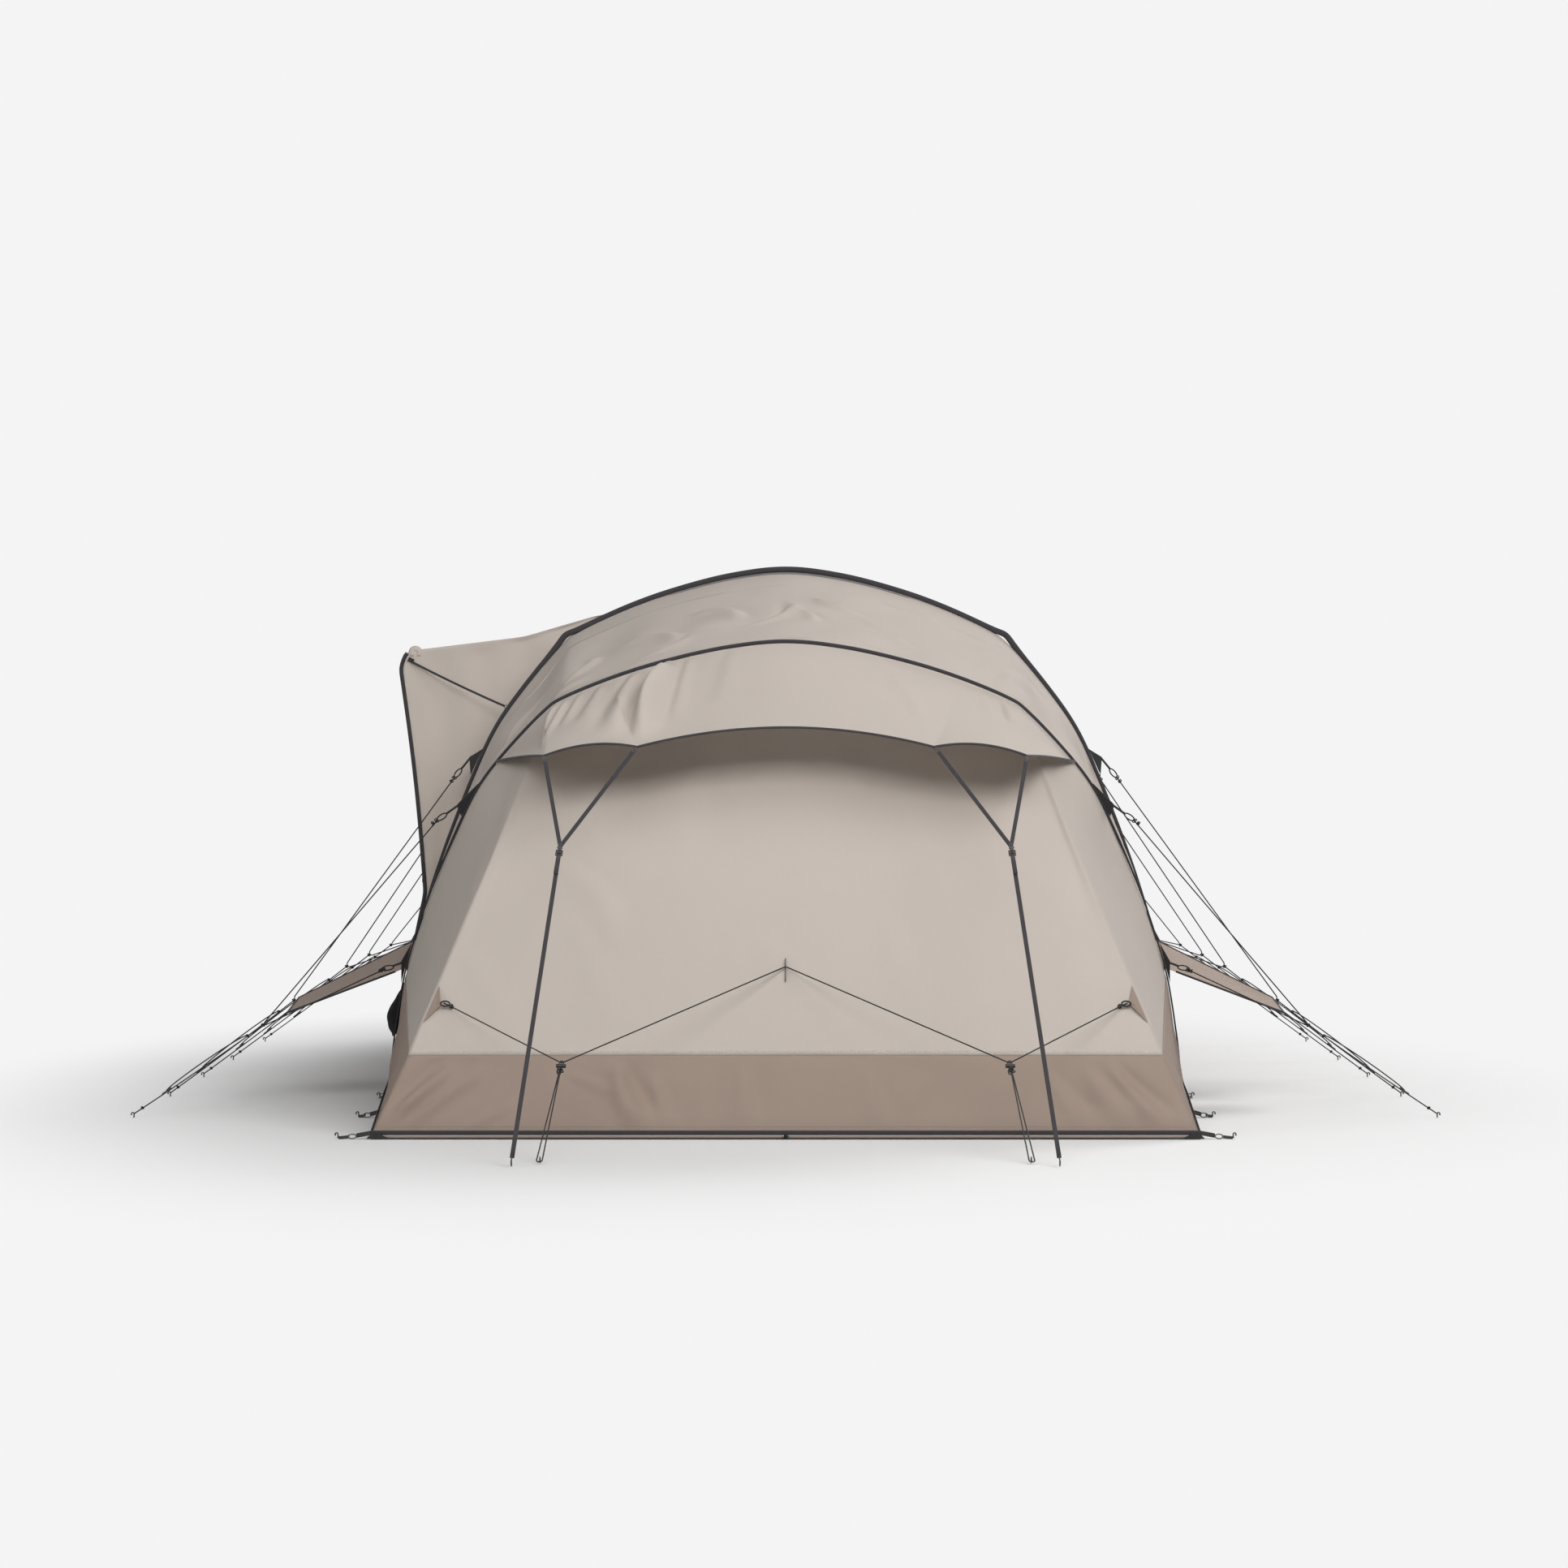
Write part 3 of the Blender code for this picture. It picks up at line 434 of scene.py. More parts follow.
def finish_of(key):
    """Each finish, made once and shared by its pieces."""
    if key not in MATERIALS:
        c = colours()
        makers = {
            "beige": lambda: woven("beige_cloth", c.beige),
            # The brown cloth is painted darker towards the bottom, over its lowest 9 cm.
            "brown": lambda: woven("brown_cloth", c.brown, low_darkening=0.35),
            "flap": lambda: woven("flap_cloth", c.flap, crumple=0.003),
            "ground": lambda: woven("ground_cloth", (0.40, 0.34, 0.29), crumple=0.002),
            "pouch": lambda: woven("pouch_cloth", c.black, mottle=0.2, crumple=0.002),
            "sleeve": lambda: woven("sleeve_cloth", c.sleeve, crumple=0.002),
            "charcoal": lambda: tape("charcoal_tape", c.charcoal),
            "black_tape": lambda: tape("black_tape", c.black),
            "cord": lambda: braid("black_braid", c.cord),
            "thread": lambda: braid("pale_thread", (0.30, 0.26, 0.22)),
            "cream": lambda: braid("cream_thread", (0.80, 0.75, 0.69)),
            "plastic": lambda: moulded("black_plastic", c.black),
            "steel": lambda: plated("dark_steel", (0.10, 0.10, 0.11)),
        }
        MATERIALS[key] = makers[key]()
    return MATERIALS[key]


def catmull(points, spots):
    """A smooth curve through rows of points, read at fractional indices."""
    points = np.asarray(points, float)
    spots = np.clip(np.asarray(spots, float), 0, len(points) - 1)
    i = np.minimum(spots.astype(int), len(points) - 2)
    f = (spots - i)[:, None]
    padded = np.vstack([2 * points[0] - points[1], points, 2 * points[-1] - points[-2]])
    a, b, c, d = (padded[i + k] for k in range(4))
    return 0.5 * (2 * b + (c - a) * f + (2 * a - 5 * b + 4 * c - d) * f**2 + (3 * b - a - 3 * c + d) * f**3)


RIGHT_HALF = [(HALF_WIDTH * x, HEIGHT * z) for x, z in HALF_SECTION]
OUTLINE = np.array([(-x, z) for x, z in RIGHT_HALF[:0:-1]] + RIGHT_HALF)
OUTLINE[:, 1] = np.maximum(OUTLINE[:, 1], FLOOR)


def outline(t):
    """The arch's outline at t, from -14 at the left foot over 0 at the ridge to 14 at the right foot."""
    return catmull(OUTLINE, np.asarray(t, float) + FOOT)


def outward(t):
    step = 0.02
    t = np.asarray(t, float)
    along = outline(t + step) - outline(t - step)
    normal = np.stack([-along[:, 1], along[:, 0]], axis=1)
    return normal / np.maximum(np.linalg.norm(normal, axis=1), 1e-9)[:, None]


def foot_of(arch):
    tucked = {0: ARCH_PITCH - FOOT_PITCH, 4: FOOT_PITCH - ARCH_PITCH}
    return FIRST_UPRIGHT + ARCH_PITCH * (arch - 1) + tucked.get(arch, 0)


def lean_of(arch):
    return {0: END_LEAN, 4: -END_LEAN}.get(arch, 0.0)


def on_arch(arch, flat):
    """Points of the upright outline, in X and Z, moved to where an arch stands and leans."""
    flat = np.asarray(flat, float)
    rise = flat[..., 1] - FLOOR
    lean = lean_of(arch)
    return np.stack(
        [flat[..., 0], foot_of(arch) - rise * math.sin(lean), FLOOR + rise * math.cos(lean)], axis=-1
    )


def arch_points(arch, t, out=0.0):
    return on_arch(arch, outline(t) + outward(t) * out)


def contour_x(z):
    """The half width of the upright outline at a height."""
    half = np.array(RIGHT_HALF[::-1])
    return float(np.interp(z, half[:, 1], half[:, 0]))


def normals_of(grid):
    rows = np.gradient(grid, axis=0)
    columns = np.gradient(grid, axis=1)
    normal = np.cross(columns, rows)
    return normal / np.maximum(np.linalg.norm(normal, axis=2), 1e-12)[..., None]


def flat_size(grid):
    """How far each point lies along its row and its column, in metres."""
    across = np.linalg.norm(np.diff(grid, axis=1), axis=2)
    along = np.linalg.norm(np.diff(grid, axis=0), axis=2)
    u = np.concatenate([np.zeros((len(grid), 1)), np.cumsum(across, axis=1)], axis=1)
    v = np.concatenate([np.zeros((1, grid.shape[1])), np.cumsum(along, axis=0)], axis=0)
    return u - u.mean(axis=1, keepdims=True), v


def area_of(grid):
    one = np.linalg.norm(np.cross(grid[1:, :-1] - grid[:-1, :-1], grid[:-1, 1:] - grid[:-1, :-1]), axis=2)
    two = np.linalg.norm(np.cross(grid[1:, :-1] - grid[1:, 1:], grid[:-1, 1:] - grid[1:, 1:]), axis=2)
    return float((one.sum() + two.sum()) / 2)


def fold(u, v, start, end, width, height, bend=0.0):
    """A fold of cloth along a line from start to end, in metres on the cloth, dying away at both ends."""
    start, end = np.array(start, float), np.array(end, float)
    way = end - start
    length = np.linalg.norm(way)
    way = way / length
    along = ((u - start[0]) * way[0] + (v - start[1]) * way[1]) / length
    aside = (u - start[0]) * -way[1] + (v - start[1]) * way[0]
    aside = aside - bend * length * (1 - (2 * along - 1) ** 2)
    width = width * (0.6 + 0.8 * np.clip(along, 0, 1))
    ends = np.exp(-((np.abs(2 * along - 1) / 0.72) ** 4))
    wave = np.exp(-((aside / width) ** 2)) - 0.55 * np.exp(-(((aside - 1.3 * width) / (0.8 * width)) ** 2))
    return height * ends * wave


def ripples(u, v, seed, height, length=0.5, count=7):
    """Broad, soft unevenness of hung cloth, the same on every run."""
    pick = np.random.default_rng(seed)
    total = np.zeros_like(u)
    for _ in range(count):
        angle = pick.uniform(0, math.pi)
        wave = length * pick.uniform(0.5, 1.8)
        phase = pick.uniform(0, 2 * math.pi)
        total += np.sin((u * math.cos(angle) + v * math.sin(angle)) * 2 * math.pi / wave + phase)
    return height * total / count


def edge_fade(rows, columns, row_edge=0.08, column_edge=0.0):
    """1 inside the panel and 0 on its edges."""
    def fade(count, edge):
        s = np.linspace(0, 1, count)
        if edge <= 0:
            return np.ones(count)
        near = np.clip(np.minimum(s, 1 - s) / edge, 0, 1)
        return near * near * (3 - 2 * near)

    return fade(rows, row_edge)[:, None] * fade(columns, column_edge)[None, :]


def stitches(name, path, normals, pitch=0.007, long=0.0045, wide=0.0009, high=0.0009, material="thread"):
    """A row of stitches along a seam: small raised lozenges, all in one mesh."""
    path, normals = np.asarray(path, float), np.broadcast_to(np.asarray(normals, float), np.shape(path))
    run = np.concatenate([[0], np.cumsum(np.linalg.norm(np.diff(path, axis=0), axis=1))])
    at = np.arange(pitch / 2, run[-1], pitch)
    centre = np.stack([np.interp(at, run, path[:, k]) for k in range(3)], axis=1)
    ahead = np.stack([np.interp(at + 0.002, run, path[:, k]) for k in range(3)], axis=1)
    behind = np.stack([np.interp(at - 0.002, run, path[:, k]) for k in range(3)], axis=1)
    way = ahead - behind
    way = way / np.maximum(np.linalg.norm(way, axis=1), 1e-9)[:, None]
    up = np.stack([np.interp(at, run, normals[:, k]) for k in range(3)], axis=1)
    side = np.cross(way, up)
    side = side / np.maximum(np.linalg.norm(side, axis=1), 1e-9)[:, None]
    up = np.cross(side, way)
    points, faces = [], []
    for c, w, s, n in zip(centre, way, side, up):
        base = len(points)
        points += [c - w * long / 2, c + s * wide, c + w * long / 2, c - s * wide]
        points += [c + n * high, c - n * high * 0.4]
        for i in range(4):
            j = (i + 1) % 4
            faces.append((base + i, base + j, base + 4))
            faces.append((base + j, base + i, base + 5))
    return settle(name, mesh_of(name, points, faces), material, "tent")


def settle(name, mesh, material, body="tent", smooth=True):
    """Puts a finished mesh into the scene, in the row frame, riding on its body."""
    for polygon in mesh.polygons:
        polygon.use_smooth = smooth
    piece = bpy.data.objects.new(name, mesh)
    bpy.context.scene.collection.objects.link(piece)
    mesh.materials.clear()
    mesh.materials.append(finish_of(material))
    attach(piece, body)
    return piece


def mesh_of(name, points, faces, flat=None):
    """A mesh from points counted along the tent, with an optional UV map in metres for each point."""
    points = np.asarray(points, float).reshape(-1, 3) - np.array([0, ORIGIN_Y, 0])
    mesh = bpy.data.meshes.new(name)
    mesh.from_pydata(points.tolist(), [], faces)
    if flat is not None:
        layer = mesh.uv_layers.new(name="cloth")
        corners = np.zeros(len(mesh.loops), int)
        mesh.loops.foreach_get("vertex_index", corners)
        layer.data.foreach_set("uv", np.asarray(flat, np.float32)[corners].ravel())
    mesh.validate()
    mesh.update()
    return mesh


def cloth(
    name, grid, material, slot, held="stretched", stands_for=(), body="tent", keep=None, thickness=None
):
    """A sheet of cloth from a grid of points on its outer face, given its thickness inwards.

    keep says which of the grid's squares are cloth, where a panel has an opening.
    """
    grid = np.asarray(grid, float)
    rows, columns = grid.shape[:2]
    depth = sizes().cloth if thickness is None else thickness
    inner = grid - normals_of(grid) * depth
    u, v = flat_size(grid)
    flat = np.stack([u, v], axis=-1).reshape(-1, 2)
    count = rows * columns
    index = np.arange(count).reshape(rows, columns)
    quads = np.stack([index[:-1, :-1], index[:-1, 1:], index[1:, 1:], index[1:, :-1]], axis=-1)
    quads = quads[keep] if keep is not None else quads.reshape(-1, 4)
    edges = {(int(q[k]), int(q[(k + 1) % 4])) for q in quads for k in range(4)}
    rim = [(q, p, p + count, q + count) for p, q in edges if (q, p) not in edges]
    used = np.unique(quads)
    order = np.full(2 * count, -1)
    order[np.concatenate([used, used + count])] = np.arange(2 * len(used))
    faces = quads.tolist() + (quads[:, ::-1] + count).tolist() + sorted(rim)
    faces = [[int(order[i]) for i in face] for face in faces]
    points = np.concatenate([grid.reshape(-1, 3), inner.reshape(-1, 3)])[np.concatenate([used, used + count])]
    mesh = mesh_of(name, points, faces, np.concatenate([flat[used], flat[used]]))
    panel = settle(name, mesh, material, body)
    wide = float(np.linalg.norm(np.diff(grid, axis=1), axis=2).sum(axis=1).max())
    tall = float(np.linalg.norm(np.diff(grid, axis=0), axis=2).sum(axis=0).max())
    share = len(quads) / ((rows - 1) * (columns - 1))
    cut = min(1.0, max(0.3, area_of(grid) * share / (wide * tall)))
    flat = (round(wide, 2), round(tall, 2))
    cut * flat[0] * flat[1]
    for node in [stands_for] if isinstance(stands_for, str) else stands_for:
        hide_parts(node)
    return panel


def rounded(
    name, path, radii, material, sides=10, body="tent",
    up=None, closed=False, square=1.0, swell=None,
):
    """A cord, tape or ring along a path, with two radii; a smaller square makes squarer corners."""
    path = np.asarray(path, float)
    wide, high = radii if hasattr(radii, "__len__") else (radii, radii)
    if closed:
        way = np.roll(path, -1, axis=0) - np.roll(path, 1, axis=0)
    else:
        way = np.gradient(path, axis=0)
    way = way / np.maximum(np.linalg.norm(way, axis=1), 1e-12)[:, None]
    angles = np.linspace(0, 2 * math.pi, sides, endpoint=False)
    cosines = np.sign(np.cos(angles)) * np.abs(np.cos(angles)) ** square * wide
    sines = np.sign(np.sin(angles)) * np.abs(np.sin(angles)) ** square * high
    up = None if up is None else np.broadcast_to(np.asarray(up, float), path.shape)
    side = np.cross(way[0], (0, 0, 1) if up is None else up[0])
    if np.linalg.norm(side) < 1e-6:
        side = np.cross(way[0], (1, 0, 0))
    swell = np.ones(len(path)) if swell is None else swell
    points = []
    for i, spot in enumerate(path):
        if up is not None:
            side = np.cross(way[i], up[i])
        side = side - way[i] * side.dot(way[i])
        side = side / np.linalg.norm(side)
        over = np.cross(side, way[i])
        points.append(spot + (cosines[:, None] * side + sines[:, None] * over) * swell[i])
    count = len(path)
    run = np.concatenate([[0], np.cumsum(np.linalg.norm(np.diff(path, axis=0), axis=1))])
    flat = [(angle * (wide + high) / 2, distance) for distance in run for angle in angles]
    faces = []
    for i in range(count if closed else count - 1):
        n = (i + 1) % count
        for j in range(sides):
            k = (j + 1) % sides
            faces.append((i * sides + j, n * sides + j, n * sides + k, i * sides + k))
    points = np.concatenate(points)
    if not closed:
        points = np.concatenate([points, path[:1], path[-1:]])
        flat += [(0, run[0]), (0, run[-1])]
        first, last = count * sides, count * sides + 1
        for j in range(sides):
            k = (j + 1) % sides
            faces.append((first, j, k))
            faces.append((last, (count - 1) * sides + k, (count - 1) * sides + j))
    return settle(name, mesh_of(name, points, faces, flat), material, body)


def rounded_route(corners, radius=0.012, step=0.12, bend_points=7):
    """A line through corners whose bends are arcs of a radius."""
    corners = [Vector(c) for c in corners]
    points = [corners[0]]
    for before, corner, after in zip(corners, corners[1:], corners[2:]):
        back, on = (before - corner).normalized(), (after - corner).normalized()
        half = back.angle(on) / 2
        reach = radius / math.tan(half)
        centre = corner + (back + on).normalized() * (radius / math.sin(half))
        start = (corner + back * reach - centre).normalized()
        end = (corner + on * reach - centre).normalized()
        points += [centre + start.slerp(end, k / (bend_points - 1)) * radius for k in range(bend_points)]
    points.append(corners[-1])
    path = [points[0]]
    for point in points[1:]:
        parts = max(1, round((point - path[-1]).length / step))
        last = path[-1].copy()
        path += [last.lerp(point, (k + 1) / parts) for k in range(parts)]
    return np.array([tuple(p) for p in path])


def sagged(path, depth):
    """The same route, hanging a little low between its ends."""
    run = np.concatenate([[0], np.cumsum(np.linalg.norm(np.diff(path, axis=0), axis=1))])
    share = run / run[-1]
    low = path.copy()
    low[:, 2] -= depth * 4 * share * (1 - share)
    return low


def line_cord(name, path, body="tent", stands_for=()):
    """A taut cord along its path."""
    diameter = sizes().cord
    cord = rounded(name, path, diameter / 2, "cord", sides=8, body=body)
    shift = np.array([0, ORIGIN_Y, 0])
    tuple(float(c) for c in path[0] - shift)
    [tuple(float(c) for c in p) for p in path - shift]
    for node in [stands_for] if isinstance(stands_for, str) else stands_for:
        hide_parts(node)
    return cord


def ring(name, centre, radius, wire, axis, material="steel", stretch=1.0, along=(0, 0, 1)):
    """A wire ring round an axis, stretched along one direction."""
    axis = Vector(axis).normalized()
    long_way = Vector(along)
    long_way = (long_way - axis * long_way.dot(axis)).normalized()
    short_way = axis.cross(long_way)
    angles = np.linspace(0, 2 * math.pi, 20, endpoint=False)
    longer, shorter = long_way * radius * stretch, short_way * radius
    path = [Vector(centre) + longer * math.cos(a) + shorter * math.sin(a) for a in angles]
    return rounded(name, [tuple(p) for p in path], wire, material, sides=7, closed=True)


def knot(name, centre, way, size=0.007, material="cord"):
    """An overhand knot: a short trefoil of cord pulled tight."""
    way = Vector(way).normalized()
    across = way.orthogonal().normalized()
    over = way.cross(across)
    angles = np.linspace(0, 2 * math.pi, 36, endpoint=False)
    path = []
    for a in angles:
        reach = size * (0.55 + 0.35 * math.cos(1.5 * 2 * a))
        spot = across * reach * math.cos(2 * a) + over * reach * math.sin(2 * a)
        spot += way * size * 0.55 * math.sin(3 * a)
        path.append(tuple(Vector(centre) + spot))
    return rounded(name, path, sizes().cord * 0.42, material, sides=6, closed=True)


def frame_at(spot, way, up=(0, 0, 1)):
    """A frame at a spot: Y goes along the way, Z as near up as it can, X across."""
    way = Vector(way).normalized()
    across = way.cross(Vector(up)).normalized()
    over = across.cross(way)
    turn = Matrix((across, way, over)).transposed().to_4x4()
    return Matrix.Translation(Vector(spot) - Vector((0, ORIGIN_Y, 0))) @ turn


def fresh():
    """Nothing selected, before a new piece is modelled by hand."""
    if bpy.context.object and bpy.context.object.mode != "OBJECT":
        bpy.ops.object.mode_set(mode="OBJECT")
    bpy.ops.object.select_all(action="DESELECT")


def pick_faces(piece, test):
    """Selects the faces for which the test on centre and normal holds, in edit mode."""
    bpy.ops.object.mode_set(mode="EDIT")
    bpy.ops.mesh.select_mode(type="FACE")
    bpy.ops.mesh.select_all(action="DESELECT")
    bpy.ops.object.mode_set(mode="OBJECT")
    for face in piece.data.polygons:
        face.select = test(face.center, face.normal)
    bpy.ops.object.mode_set(mode="EDIT")


def taken(piece, angle=40):
    """The modelled piece's mesh, smoothed by angle, for its copies; the piece itself goes."""
    if piece.mode != "OBJECT":
        bpy.ops.object.mode_set(mode="OBJECT")
    bpy.ops.object.transform_apply(location=True, rotation=True, scale=True)
    bpy.ops.object.shade_smooth_by_angle(angle=math.radians(angle))
    mesh = piece.data.copy()
    bpy.data.objects.remove(piece)
    return mesh


def put(name, mesh, matrix, material, body="tent", stands_for=None):
    """A copy of a modelled mesh at its place."""
    own = mesh.copy()
    own.name = name
    own.transform(matrix)
    sharp = [p.use_smooth for p in own.polygons]
    piece = settle(name, own, material, body)
    own.polygons.foreach_set("use_smooth", sharp)
    if stands_for:
        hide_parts(stands_for)
    return piece


def spread(count, low=0.0, high=1.0):
    return np.linspace(low, high, count)


def blended(low, high, shares):
    """A grid of rows between two lines of points."""
    s = np.asarray(shares)[:, None, None]
    return low[None] * (1 - s) + high[None] * s


def puffed(grid, lift):
    return grid + normals_of(grid) * lift[..., None]


def folded(grid, folds, seed, unevenness=0.006, row_edge=0.06, column_edge=0.04, reach=0.5):
    """The grid with its own folds and a broad unevenness, still on its seams at the edges."""
    u, v = flat_size(grid)
    lift = ripples(u, v, seed, unevenness, reach)
    for crease in folds:
        lift = lift + fold(u, v, *crease)
    return puffed(grid, lift * edge_fade(*grid.shape[:2], row_edge, column_edge))


def flipped(grid):
    """The same cloth at the other end of the tent, still facing out."""
    turned = grid[:, ::-1].copy()
    turned[..., 1] = LENGTH - turned[..., 1]
    return turned


ROOF_FOLDS = {
    0: (
        ((-1.32, 0.30), (-1.02, 0.62), 0.034, 0.015, 0.10),
        ((-1.10, 0.22), (-0.80, 0.30), 0.022, 0.015, -0.06),
        ((-0.98, 0.36), (-0.80, 0.66), 0.034, 0.021, -0.20),
        ((-0.72, 0.60), (-0.42, 0.40), 0.036, 0.021, 0.24),
        ((-0.66, 0.28), (-0.36, 0.44), 0.026, 0.015, -0.18),
        ((-0.44, 0.86), (-0.18, 0.62), 0.034, 0.019, 0.26),
        ((-0.26, 0.46), (0.02, 0.92), 0.032, 0.019, -0.24),
        ((-0.04, 0.66), (0.12, 0.52), 0.024, 0.017, 0.30),
        ((0.10, 0.96), (0.34, 0.76), 0.026, 0.017, -0.16),
        ((0.22, 0.74), (0.52, 0.34), 0.040, 0.011, 0.10),
        ((0.88, 0.24), (1.20, 0.82), 0.050, 0.009, 0.10),
        ((-1.62, 0.40), (-1.42, 0.78), 0.044, 0.011, 0.08),
    ),
    1: (((-0.6, 0.2), (-0.2, 0.8), 0.04, 0.009, 0.1), ((0.5, 0.2), (0.9, 0.8), 0.04, 0.008, -0.1)),
    2: (((-0.9, 0.2), (-0.4, 0.8), 0.04, 0.009, 0.1), ((0.3, 0.7), (0.7, 0.2), 0.04, 0.008, 0.15)),
    3: (((-0.7, 0.3), (-0.2, 0.9), 0.04, 0.011, -0.1), ((0.4, 0.8), (0.9, 0.3), 0.035, 0.010, 0.12)),
}
DOORWAY = (PORCH_NEAR + 0.012, PORCH_FAR - 0.012)
DOORWAY_TOP = 1.985


class TENT_OT_bays(bpy.types.Operator):
    """Roof and side cloth, one woven panel between each two arches"""

    bl_idname = "tent.bays"
    bl_label = "Bay panels"

    def execute(self, context):
        for arch in range(4):
            spots = spread(441 if arch == 0 else 261, -SEAM, SEAM)
            doorway = [(y - foot_of(1)) / ARCH_PITCH for y in DOORWAY]
            shares = np.sort(np.unique(np.concatenate([spread(71 if arch == 0 else 49), doorway])))
            grid = blended(arch_points(arch, spots), arch_points(arch + 1, spots), shares)
            edges = [np.linalg.norm(grid - grid[row][None], axis=2) for row in (0, -1)]
            roof = np.clip(1 - np.abs(spots) / SEAM, 0, 1) ** 0.8
            dip = sizes().sag * (4 * shares * (1 - shares))[:, None] * roof[None]
            ribs = 0.005 * (np.exp(-((edges[0] / 0.06) ** 2)) + np.exp(-((edges[1] / 0.06) ** 2)) - 1)
            lift = ribs - dip - 0.003 - 0.012 * roof[None]
            if arch == 0:
                crumples = ripples(*flat_size(grid), 17, 0.028, 0.46, 9)
                lift = lift + crumples * edge_fade(len(shares), len(spots), 0.25, 0.06)
            grid = puffed(grid, lift)
            grid = folded(grid, ROOF_FOLDS[arch], 11 + arch, 0.010, 0.10, 0.03, 0.7)
            keep = None
            if arch == 1:
                y = (shares[:-1] + shares[1:]) / 2 * ARCH_PITCH + foot_of(1)
                t = (spots[:-1] + spots[1:]) / 2
                low = outline(t)[:, 1] < DOORWAY_TOP
                in_door = (y > DOORWAY[0])[:, None] & (y < DOORWAY[1])[:, None] & (low & (t < 0))[None]
                keep = ~in_door
            name, node = f"bay_cloth_{arch + 1}", f"bay_panel_{arch + 1}"
            cloth(name, grid, "beige", "beige_canvas", "stretched", node, keep=keep)
        return {"FINISHED"}


def corner_line(t):
    """The near corner's edge of the side skirt, for spots of the outline from its seam to its foot."""
    z = outline(np.abs(t))[:, 1]
    share = (z - FLOOR) / (outline([SEAM])[0, 1] - FLOOR)
    x = END_HALF_WIDTH + (SKIRT_HALF_WIDTH - END_HALF_WIDTH) * share
    y, z = SKIRT_SETBACK * share + 0.0046, FLOOR + (SKIRT_HEIGHT - FLOOR) * share
    return np.stack([x * np.sign(t), y, z], axis=1)


SIDE_FOLDS = (
    ((-0.08, 0.30), (0.12, 0.90), 0.05, 0.010),
    ((0.12, 1.00), (-0.14, 1.50), 0.05, 0.009),
    ((0.10, 2.30), (-0.16, 2.70), 0.045, 0.009),
    ((-0.10, 3.30), (0.16, 3.60), 0.045, 0.009),
    ((0.05, 4.60), (-0.20, 5.20), 0.05, 0.010),
)


class TENT_OT_side_skirts(bpy.types.Operator):
    """Brown cloth low on both sides, from corner to corner"""

    bl_idname = "tent.side_skirts"
    bl_label = "Side skirts"

    def execute(self, context):
        for side, word in SIDES:
            spots = side * spread(31, SEAM, FOOT)
            spots = np.sort(spots)
            corner = corner_line(spots)
            far_corner = corner * (1, -1, 1) + (0, LENGTH, 0)
            lines = [corner] + [arch_points(k, spots) for k in range(5)] + [far_corner]
            counts = (36, 6, 24, 24, 6, 36)
            parts = [blended(a, b, spread(n, 0, 1 - 1 / n)) for a, b, n in zip(lines, lines[1:], counts)]
            grid = np.concatenate([*parts, lines[-1][None]])
            inward = ripples(*flat_size(grid), 31 + side, 0.008, 0.6)
            mid = np.sin(math.pi * spread(31)) ** 0.8
            u, v = flat_size(grid)
            lift = inward - 0.004
            for start, end, width, height in SIDE_FOLDS:
                lift = lift + fold(u * side, v, start, end, width, height)
            grid = puffed(grid, lift * mid[None] * edge_fade(len(grid), 31, 0.02))
            keep = None
            if side < 0:
                middle = (grid[:-1, :-1] + grid[1:, 1:]) / 2
                y, z = middle[..., 1], middle[..., 2]
                keep = ~((y > DOORWAY[0]) & (y < DOORWAY[1]) & (z > PORCH_BOTTOM + 0.02))
            name, node = f"skirt_cloth_{word}", f"side_skirt_{word}"
            cloth(name, grid, "brown", "brown_canvas", "stretched", node, keep=keep)
        return {"FINISHED"}


def seam_bow(rise, across):
    """How far the end wall stands off its straight rulings, at shares of its height and half width."""
    bow = np.sin(math.pi * rise**1.6) * np.abs(across) ** 5
    return np.stack([-WALL_BOW[0] * bow * np.sign(across), -WALL_BOW[1] * bow, 0 * bow], axis=-1)


def wall_line_low(t):
    x = outline(t)[:, 0] / outline([KNEE])[0, 0] * SKIRT_HALF_WIDTH
    return np.stack([x, np.full_like(x, SKIRT_SETBACK), np.full_like(x, SKIRT_HEIGHT)], axis=1)


WALL_FOLDS = (
    ((-1.04, 0.88), (-0.62, 0.34), 0.050, 0.006, 0.16),
    ((-0.86, 0.62), (-0.66, 0.10), 0.060, 0.005, 0.04),
    ((-0.30, 1.28), (-0.42, 0.70), 0.070, 0.006, -0.04),
    ((0.18, 1.30), (0.30, 0.86), 0.070, 0.005, 0.05),
    ((0.62, 1.02), (1.02, 0.66), 0.060, 0.005, -0.10),
    ((-0.10, 0.52), (0.02, 0.20), 0.060, 0.004, 0.0),
    ((0.34, 0.62), (0.46, 0.16), 0.060, 0.005, 0.05),
    ((0.92, 0.58), (1.18, 0.16), 0.070, 0.005, 0.06),
    ((-1.26, 0.48), (-1.02, 0.10), 0.050, 0.005, 0.04),
)
